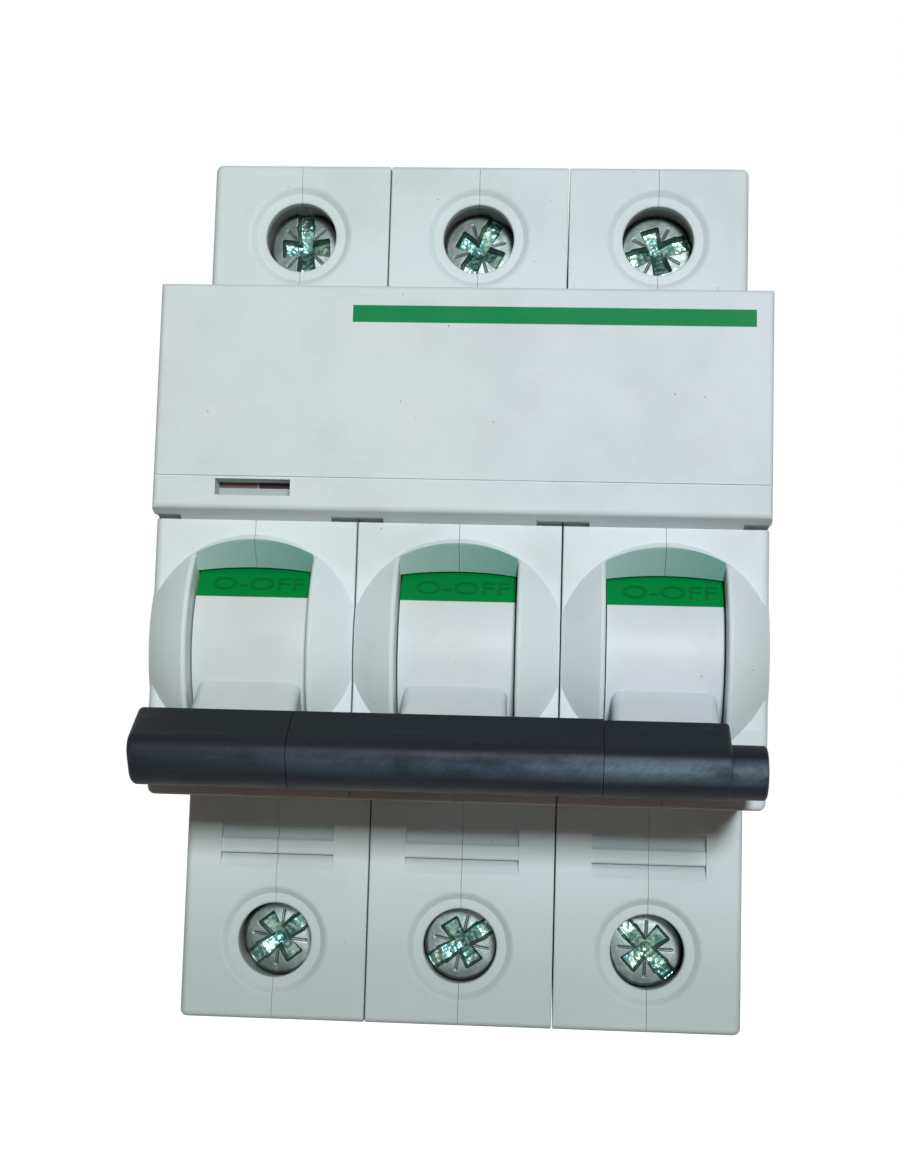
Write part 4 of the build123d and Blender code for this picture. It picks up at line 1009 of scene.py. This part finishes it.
@dataclass
class ClampScrew:
    """A terminal screw whose head takes a flat blade or a cross bit, with a threaded shank.

    Attributes:
        node: The CAD node that it stands for, also the name of its body.
        turn_deg: How far its slot is turned from level.
        head_radius: Of the head.
        head_height: Of the head.
        rim_round: Rounding of the head's rim.
        crown: How far the head's middle stands proud of its rim.
        slot_half: Half the blade slot's width.
        slot_depth: Its depth.
        wing_half: Half the width of the cross's wings at the middle.
        wing_flare: How much wider a wing gets on each millimetre outwards.
        wing_reach: How far the wings reach from the middle.
        wing_depth: Depth of the cross at its middle.
        tick_depth: Depth of the thin marks between the wings.
        tick_half: Half their width.
        tick_reach: How far they reach from the middle.
        pitch: Of the thread.
        run_in: Pitches below the head where the thread starts and where it is full.
        thread_depth: Of the thread.
        shank_radius: Over the thread's crests.
        point: Length of the shank's bevelled end.
        soft: Half the width of the recess's rounded edges.
        wing_rise: Share of its depth that the cross loses at its reach.
        first_ring: Radius of the ring next to the face's middle.
        columns: Points round the head.
        face_rings: Rings across the face.
        rim_rings: Rings over the rim's rounding.
        side_rings: Rings down the head's side.
        thread_rings: Rings along the thread.
    """

    node: str
    turn_deg: float
    head_radius: float = 3.65
    head_height: float = 3.0
    rim_round: float = 0.3
    crown: float = 0.22
    slot_half: float = 0.72
    slot_depth: float = 1.15
    wing_half: float = 0.5
    wing_flare: float = 0.14
    wing_reach: float = 2.35
    wing_depth: float = 1.9
    tick_depth: float = 0.12
    tick_half: float = 0.07
    tick_reach: float = 2.7
    pitch: float = 0.8
    run_in: tuple[float, float] = (0.25, 1.5)
    thread_depth: float = 0.4
    shank_radius: float = 2.5
    point: float = 0.4
    soft: float = 0.12
    wing_rise: float = 0.45
    first_ring: float = 0.03
    columns: int = 288
    face_rings: int = 84
    rim_rings: int = 6
    side_rings: int = 4
    thread_rings: int = 132

    def within(self, value: np.ndarray, limit: np.ndarray | float) -> np.ndarray:
        """1 where a distance is under a limit and 0 beyond it, with a soft edge between."""
        return 1 - ease(np.abs(value) - limit, -self.soft, self.soft)

    def recess(self, across: np.ndarray, up: np.ndarray) -> np.ndarray:
        """Depth of the drive at points of the head.

        The slot is a flat trough along one line. Each wing of the cross is a trough that widens outwards,
        ends at its reach and gets shallower towards its end. The deepest of them counts, and four thin marks
        lie between.

        Args:
            across: Distance along the slot.
            up: Distance across it.

        Returns:
            Depth below the head's face, in millimetres.
        """
        radius = np.hypot(across, up)
        slot = self.slot_depth * self.within(up, self.slot_half)
        floor = self.wing_depth * (1 - self.wing_rise * np.clip(radius / self.wing_reach, 0, 1))
        width = self.wing_half + self.wing_flare * radius
        wings = np.maximum(
            self.within(up, width) * self.within(across, self.wing_reach),
            self.within(across, width) * self.within(up, self.wing_reach),
        )
        tick_line = np.minimum(np.abs(across - up), np.abs(across + up)) / math.sqrt(2)
        ticks = self.within(tick_line, self.tick_half) * self.within(radius, self.tick_reach)
        return np.maximum(np.maximum(slot, floor * wings), self.tick_depth * ticks)

    def head(self, front: float, turn: np.ndarray) -> tuple[np.ndarray, np.ndarray]:
        """The head as rings: its face, its rounded rim, its side and its underside.

        The face is a polar grid, domed as the square of the radius and sunk by the recess. On the side, the
        blade slot runs out through the rim, so a ring goes no further forward than the slot's floor there.

        Args:
            front: Depth of the face's middle.
            turn: Angle of each column.

        Returns:
            Radius and depth, rings by columns.
        """
        edge = self.head_radius - self.rim_round
        face = np.concatenate([[0.0], np.linspace(self.first_ring, edge, self.face_rings)])
        turn = turn - math.radians(self.turn_deg)
        face_radius, face_turn = np.meshgrid(face, turn, indexing="ij")
        sunk = self.recess(face_radius * np.cos(face_turn), face_radius * np.sin(face_turn))
        face_depth = front + self.crown * (face_radius / self.head_radius) ** 2 + sunk

        bend = np.linspace(0, math.pi / 2, self.rim_rings)[1:]
        rim_radius = self.head_radius - self.rim_round * (1 - np.sin(bend))
        rim_depth = front + self.crown + self.rim_round * (1 - np.cos(bend))
        rear = front + self.head_height
        side_depth = np.linspace(rim_depth[-1] + self.rim_round, rear - self.rim_round / 2, self.side_rings)
        under_radius = np.array([self.head_radius - self.rim_round / 2, self.shank_radius])
        side_radius = np.full(self.side_rings, self.head_radius)
        radius = np.concatenate([rim_radius, side_radius, under_radius])[:, None]
        depth = np.concatenate([rim_depth, side_depth, [rear, rear]])[:, None]
        slot = self.within(radius * np.sin(turn), self.slot_half)
        depth = np.maximum(depth, front + self.crown + self.slot_depth * slot)
        return (
            np.vstack([face_radius, np.broadcast_to(radius, depth.shape)]),
            np.vstack([face_depth, depth]),
        )

    def shank(self, start: float, tip: float, turn: np.ndarray) -> tuple[np.ndarray, np.ndarray]:
        """The shank as rings: its thread and its bevelled end.

        The radius dips by the thread's depth, as a triangle wave of the depth in pitches less the turn, and
        the dip fades out at both ends.

        Args:
            start: Depth where the head ends.
            tip: Depth of the screw's end.
            turn: Angle of each column.

        Returns:
            Radius and depth, rings by columns.
        """
        along = np.linspace(start, tip - self.point, self.thread_rings)
        fade = ease(along, *(start + turns * self.pitch for turns in self.run_in))
        fade = fade * (1 - ease(along, along[-1] - self.pitch, along[-1]))
        wave = np.abs(2 * ((along[:, None] / self.pitch - turn / (2 * math.pi)) % 1.0) - 1)
        thread = self.shank_radius - self.thread_depth * fade[:, None] * wave
        end_radius = np.array([self.shank_radius - self.point, 0.0])[:, None]
        radius = np.vstack([thread, np.broadcast_to(end_radius, (2, turn.size))])
        depth = np.concatenate([along, [tip, tip]])[:, None]
        return radius, np.broadcast_to(depth, radius.shape)

    def surface(self) -> np.ndarray:
        """The whole screw as rings round its axis, from the middle of its face to the middle of its end.

        Returns:
            Rings by columns by 3, in metres, in the object's frame.
        """
        low, high = (np.array(corner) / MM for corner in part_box(self.node))
        middle_x, _, middle_z = (low + high) / 2
        turn = np.linspace(0, 2 * math.pi, self.columns, endpoint=False)
        head_radius, head_depth = self.head(low[1], turn)
        shank_radius, shank_depth = self.shank(low[1] + self.head_height, high[1], turn)
        radius = np.vstack([head_radius, shank_radius])
        depth = np.vstack([head_depth, shank_depth])
        across, up = middle_x + radius * np.cos(turn), middle_z + radius * np.sin(turn)
        return np.stack([across, depth, up], axis=-1) * MM

    def build(self, material: bpy.types.Material) -> bpy.types.Object:
        """Makes the screw, dresses it and puts it on its body.

        Args:
            material: What it is made of.

        Returns:
            The screw.
        """
        piece = turned_mesh(f"{self.node}_turned", self.surface())
        piece.data.materials.append(material)
        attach(piece, self.node)
        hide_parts(self.node)
        return piece


# ------------------------------------------------------------ sub-assemblies
@dataclass
class DressedNodes:
    """CAD nodes that keep their shape and get the finish of their record's slot.

    Attributes:
        rack: Where materials come from.
        skip: Nodes that a finer piece replaces.
    """

    rack: Rack
    skip: set[str] = field(default_factory=set)

    def build(self) -> list[str]:
        """Dresses every node.

        Returns:
            The names of the nodes that were dressed.
        """
        dressed = []
        for part in frame["record"]["subparts"]:
            node = part["node"]
            if node in self.skip:
                continue
            piece = frame["nodes"][node]
            material = self.rack.take(Stock[part["material_slot"]].value)
            piece.data.materials.clear()
            piece.data.materials.append(material)
            dressed.append(node)
        return dressed


@dataclass
class Terminals:
    """The six clamping screws, each left at its own turn.

    Attributes:
        rack: Where materials come from.
        turns: Degrees that each screw's slot is turned from level, by node.
        finish: The screws' plating.
    """

    rack: Rack
    turns: dict[str, float] = field(
        default_factory=lambda: {
            "line_terminal_screw_1": 92.0,
            "line_terminal_screw_2": 62.0,
            "line_terminal_screw_3": 18.0,
            "load_terminal_screw_1": 38.0,
            "load_terminal_screw_2": 33.0,
            "load_terminal_screw_3": -47.0,
        }
    )
    finish: IridescentPlate = IridescentPlate("iridescent_zinc_plate")

    def build(self) -> list[bpy.types.Object]:
        """Makes the six screws."""
        material = self.rack.take(self.finish)
        return [ClampScrew(node, turn).build(material) for node, turn in self.turns.items()]


@dataclass
class BandLettering:
    """The word that shows on a toggle's green band while it is off, raised from the band.

    Attributes:
        rack: Where materials come from.
        word: Generic lettering for the off position.
        radius: Of the drum under the letters.
        axis_y: Of the drum's axis.
        axis_z: Of the drum's axis.
        middle_deg: Angle of the letters' middle above the horizontal.
        shift: How far the word's middle lies to the right of the drum's.
        height: Of the letters.
        width: Of the whole word.
        proud: How far the letters stand out of the band.
        curve_steps: Straight pieces in each curve of a letter.
        finish: The letters' plastic.
    """

    rack: Rack
    word: str = "O-OFF"
    radius: float = 9.04
    axis_y: float = -55.4
    axis_z: float = -9.0
    middle_deg: float = 34.8
    shift: float = 0.4
    height: float = 1.4
    width: float = 8.2
    proud: float = 0.06
    curve_steps: int = 6
    finish: MouldedPlastic = MouldedPlastic(
        "moulded_acetal_green_letters",
        "#006a2e",
        "#006a2e",
        "#00602a",
        speck="#0b5c2c",
        gloss=0.12,
        speck_share=0.0,
        scuff=0.0,
    )

    def flat_letters(self, name: str) -> bpy.types.Mesh:
        """Draws the word with Blender's own font.

        Args:
            name: The mesh's name.

        Returns:
            The word as a flat mesh of any size, with some thickness.
        """
        curve = bpy.data.curves.new(name, "FONT")
        curve.body = self.word
        curve.align_x = "CENTER"
        curve.align_y = "CENTER"
        curve.size = 1.0
        curve.extrude = 0.5
        curve.resolution_u = self.curve_steps
        drawn = hang(name, curve)
        bpy.context.view_layer.update()
        mesh = bpy.data.meshes.new_from_object(drawn)
        bpy.data.objects.remove(drawn)
        bpy.data.curves.remove(curve)
        return mesh

    def build(self) -> list[bpy.types.Object]:
        """Wraps the word round each drum.

        A letter's width goes along X, its height becomes an angle round the drum's axis, and its thickness a
        distance from the axis.

        Returns:
            The three words.
        """
        material = self.rack.take(self.finish)
        made = []
        for number in (1, 2, 3):
            low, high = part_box(f"toggle_{number}")
            middle_x = (low.x + high.x) / 2
            mesh = self.flat_letters(f"off_lettering_{number}")
            flat = np.empty(len(mesh.vertices) * 3)
            mesh.vertices.foreach_get("co", flat)
            flat = flat.reshape(-1, 3)
            flat = (flat - (flat.min(0) + flat.max(0)) / 2) / np.ptp(flat, axis=0)
            angle = math.radians(self.middle_deg) + flat[:, 1] * self.height / self.radius
            reach = self.radius + flat[:, 2] * 2 * self.proud
            wrapped = np.stack(
                [
                    middle_x + (self.shift + flat[:, 0] * self.width) * MM,
                    (self.axis_y - reach * np.cos(angle)) * MM,
                    (self.axis_z + reach * np.sin(angle)) * MM,
                ],
                axis=-1,
            )
            mesh.vertices.foreach_set("co", wrapped.ravel())
            mesh.update()
            piece = hang(f"off_lettering_{number}", mesh)
            piece.data.materials.append(material)
            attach(piece, "toggle")
            made.append(piece)
        return made


# ------------------------------------------------------------------- studio
@dataclass
class Studio:
    """Camera, lamp, floor and background.

    Attributes:
        eye: The camera's place.
        tilt_deg: Turn about X.
        roll_deg: Turn about Y.
        pan_deg: Turn about Z.
        lens: Focal length.
        sensor: Its sensor's long side.
        clip: Nearest and farthest distance that it draws, in metres.
        sky: Strength of the even light from all round.
        sky_tint: Its colour, warm as from a wooden bench.
        key: How bright a white surface that faces the main lamp gets from it.
        key_tint: Its colour.
        key_from: Direction to the main lamp.
        key_distance: Its distance.
        key_size: Its width and height.
        aim: Where it points.
        bench_tint: Colour of the floor to the light that it sends up to the object.
        floor_shade: The floor's own grey.
        floor_roughness: Of its paint.
        floor_glow: What the floor adds to the light it sends back to the eye.
        floor_gap: How far the floor lies below the object.
        floor_reach: Half the floor's width, in metres.
    """

    eye: tuple[float, float, float] = (8.43, -215.91, -20.21)
    tilt_deg: float = 6.18
    roll_deg: float = -1.61
    pan_deg: float = 3.45
    lens: float = 54.17
    sensor: float = 36.0
    clip: tuple[float, float] = (0.01, 20.0)
    sky: float = 0.13
    sky_tint: str = "#fff6ee"
    key: float = 0.86
    key_tint: str = "#fbfdff"
    key_from: tuple[float, float, float] = (0.15, -1.0, 0.15)
    key_distance: float = 480.0
    key_size: float = 60.0
    aim: tuple[float, float, float] = (0.0, -50.0, 0.0)
    bench_tint: str = "#7a5646"
    floor_shade: float = 0.8
    floor_roughness: float = 0.9
    floor_glow: float = 0.9
    floor_gap: float = 0.02
    floor_reach: float = 3.0

    def camera(self) -> None:
        """Makes the camera and gives it to the scene."""
        data = bpy.data.cameras.new("camera")
        data.sensor_fit = "VERTICAL"
        data.sensor_width = data.sensor_height = self.sensor
        data.lens = self.lens
        data.clip_start, data.clip_end = self.clip
        eye = hang("camera", data)
        turn = (
            Matrix.Rotation(math.radians(self.pan_deg), 3, "Z")
            @ Matrix.Rotation(math.radians(self.tilt_deg), 3, "X")
            @ Matrix.Rotation(math.radians(self.roll_deg), 3, "Y")
        )
        look = Matrix([turn.col[0], turn.col[2], -turn.col[1]]).transposed()
        eye.matrix_world = Matrix.Translation(Vector(self.eye) * MM) @ look.to_4x4()
        bpy.context.scene.camera = eye

    def lamp(self) -> None:
        """Makes the main lamp: a soft square in front, a little above and to the right."""
        data = bpy.data.lights.new("key", "AREA")
        data.shape = "SQUARE"
        data.size = self.key_size * MM
        # power P lights a white surface that faces the lamp from a distance d to P / (π d)²
        data.energy = self.key * (math.pi * self.key_distance * MM) ** 2
        data.color = linear(self.key_tint)[:3]
        lamp = hang("key", data)
        towards = Vector(self.key_from).normalized()
        lamp.location = (Vector(self.aim) + towards * self.key_distance) * MM
        lamp.rotation_mode = "QUATERNION"
        lamp.rotation_quaternion = towards.to_track_quat("Z", "Y")

    def background(self) -> None:
        """Makes the world: even warm light, and plain white to the eye and in reflections."""
        world = bpy.data.worlds.new("studio")
        world.use_nodes = True
        bpy.context.scene.world = world
        tree = NodeTree(world.node_tree)
        even = (*(self.sky * part for part in linear(self.sky_tint)[:3]), 1.0)
        tree.fill(tree.first("BACKGROUND"), {"Color": tree.mix(tree.seen(), even, "#ffffff")})

    def floor(self) -> None:
        """Lays the floor just under the object: white to the eye, darker where the object shades it."""
        low = CAD_BOX[0].z - self.floor_gap * MM
        reach = self.floor_reach
        mesh = bpy.data.meshes.new("floor")
        mesh.from_pydata(
            [(-reach, -reach, low), (reach, -reach, low), (reach, reach, low), (-reach, reach, low)],
            [],
            [(0, 1, 2, 3)],
        )
        floor = hang("floor", mesh)
        sheet = Sheet("painted_studio_floor")
        sheet.dress(Base_Color=(*(self.floor_shade,) * 3, 1.0), Roughness=self.floor_roughness)
        bench = sheet.add("BsdfDiffuse", {"Color": self.bench_tint})
        glow = sheet.add("Emission", {"Color": "#ffffff", "Strength": self.floor_glow})
        lifted = sheet.add("AddShader", {0: sheet.shader.outputs[0], 1: glow})
        shown = sheet.add("MixShader", {0: sheet.seen(), 1: bench, 2: lifted})
        sheet.fill(sheet.first("OUTPUT_MATERIAL"), {"Surface": shown})
        mesh.materials.append(sheet.material)

    def build(self) -> None:
        """Makes all of it, and leaves the view as plain as Blender has it."""
        bpy.context.scene.view_settings.view_transform = "Standard"
        self.camera()
        self.lamp()
        self.background()
        self.floor()


def main() -> None:
    """Builds the studio and the object's pieces in order."""
    logging.basicConfig(level=logging.INFO, format="%(name)s: %(message)s")
    rack = Rack()
    Studio().build()
    log.info("studio ready")
    terminals = Terminals(rack)
    dressed = DressedNodes(rack, skip=set(terminals.turns)).build()
    log.info("dressed %d nodes", len(dressed))
    for piece in terminals.build() + BandLettering(rack).build():
        log.info("made %s with %d faces", piece.name, len(piece.data.polygons))


if __name__ == "__main__":
    main()
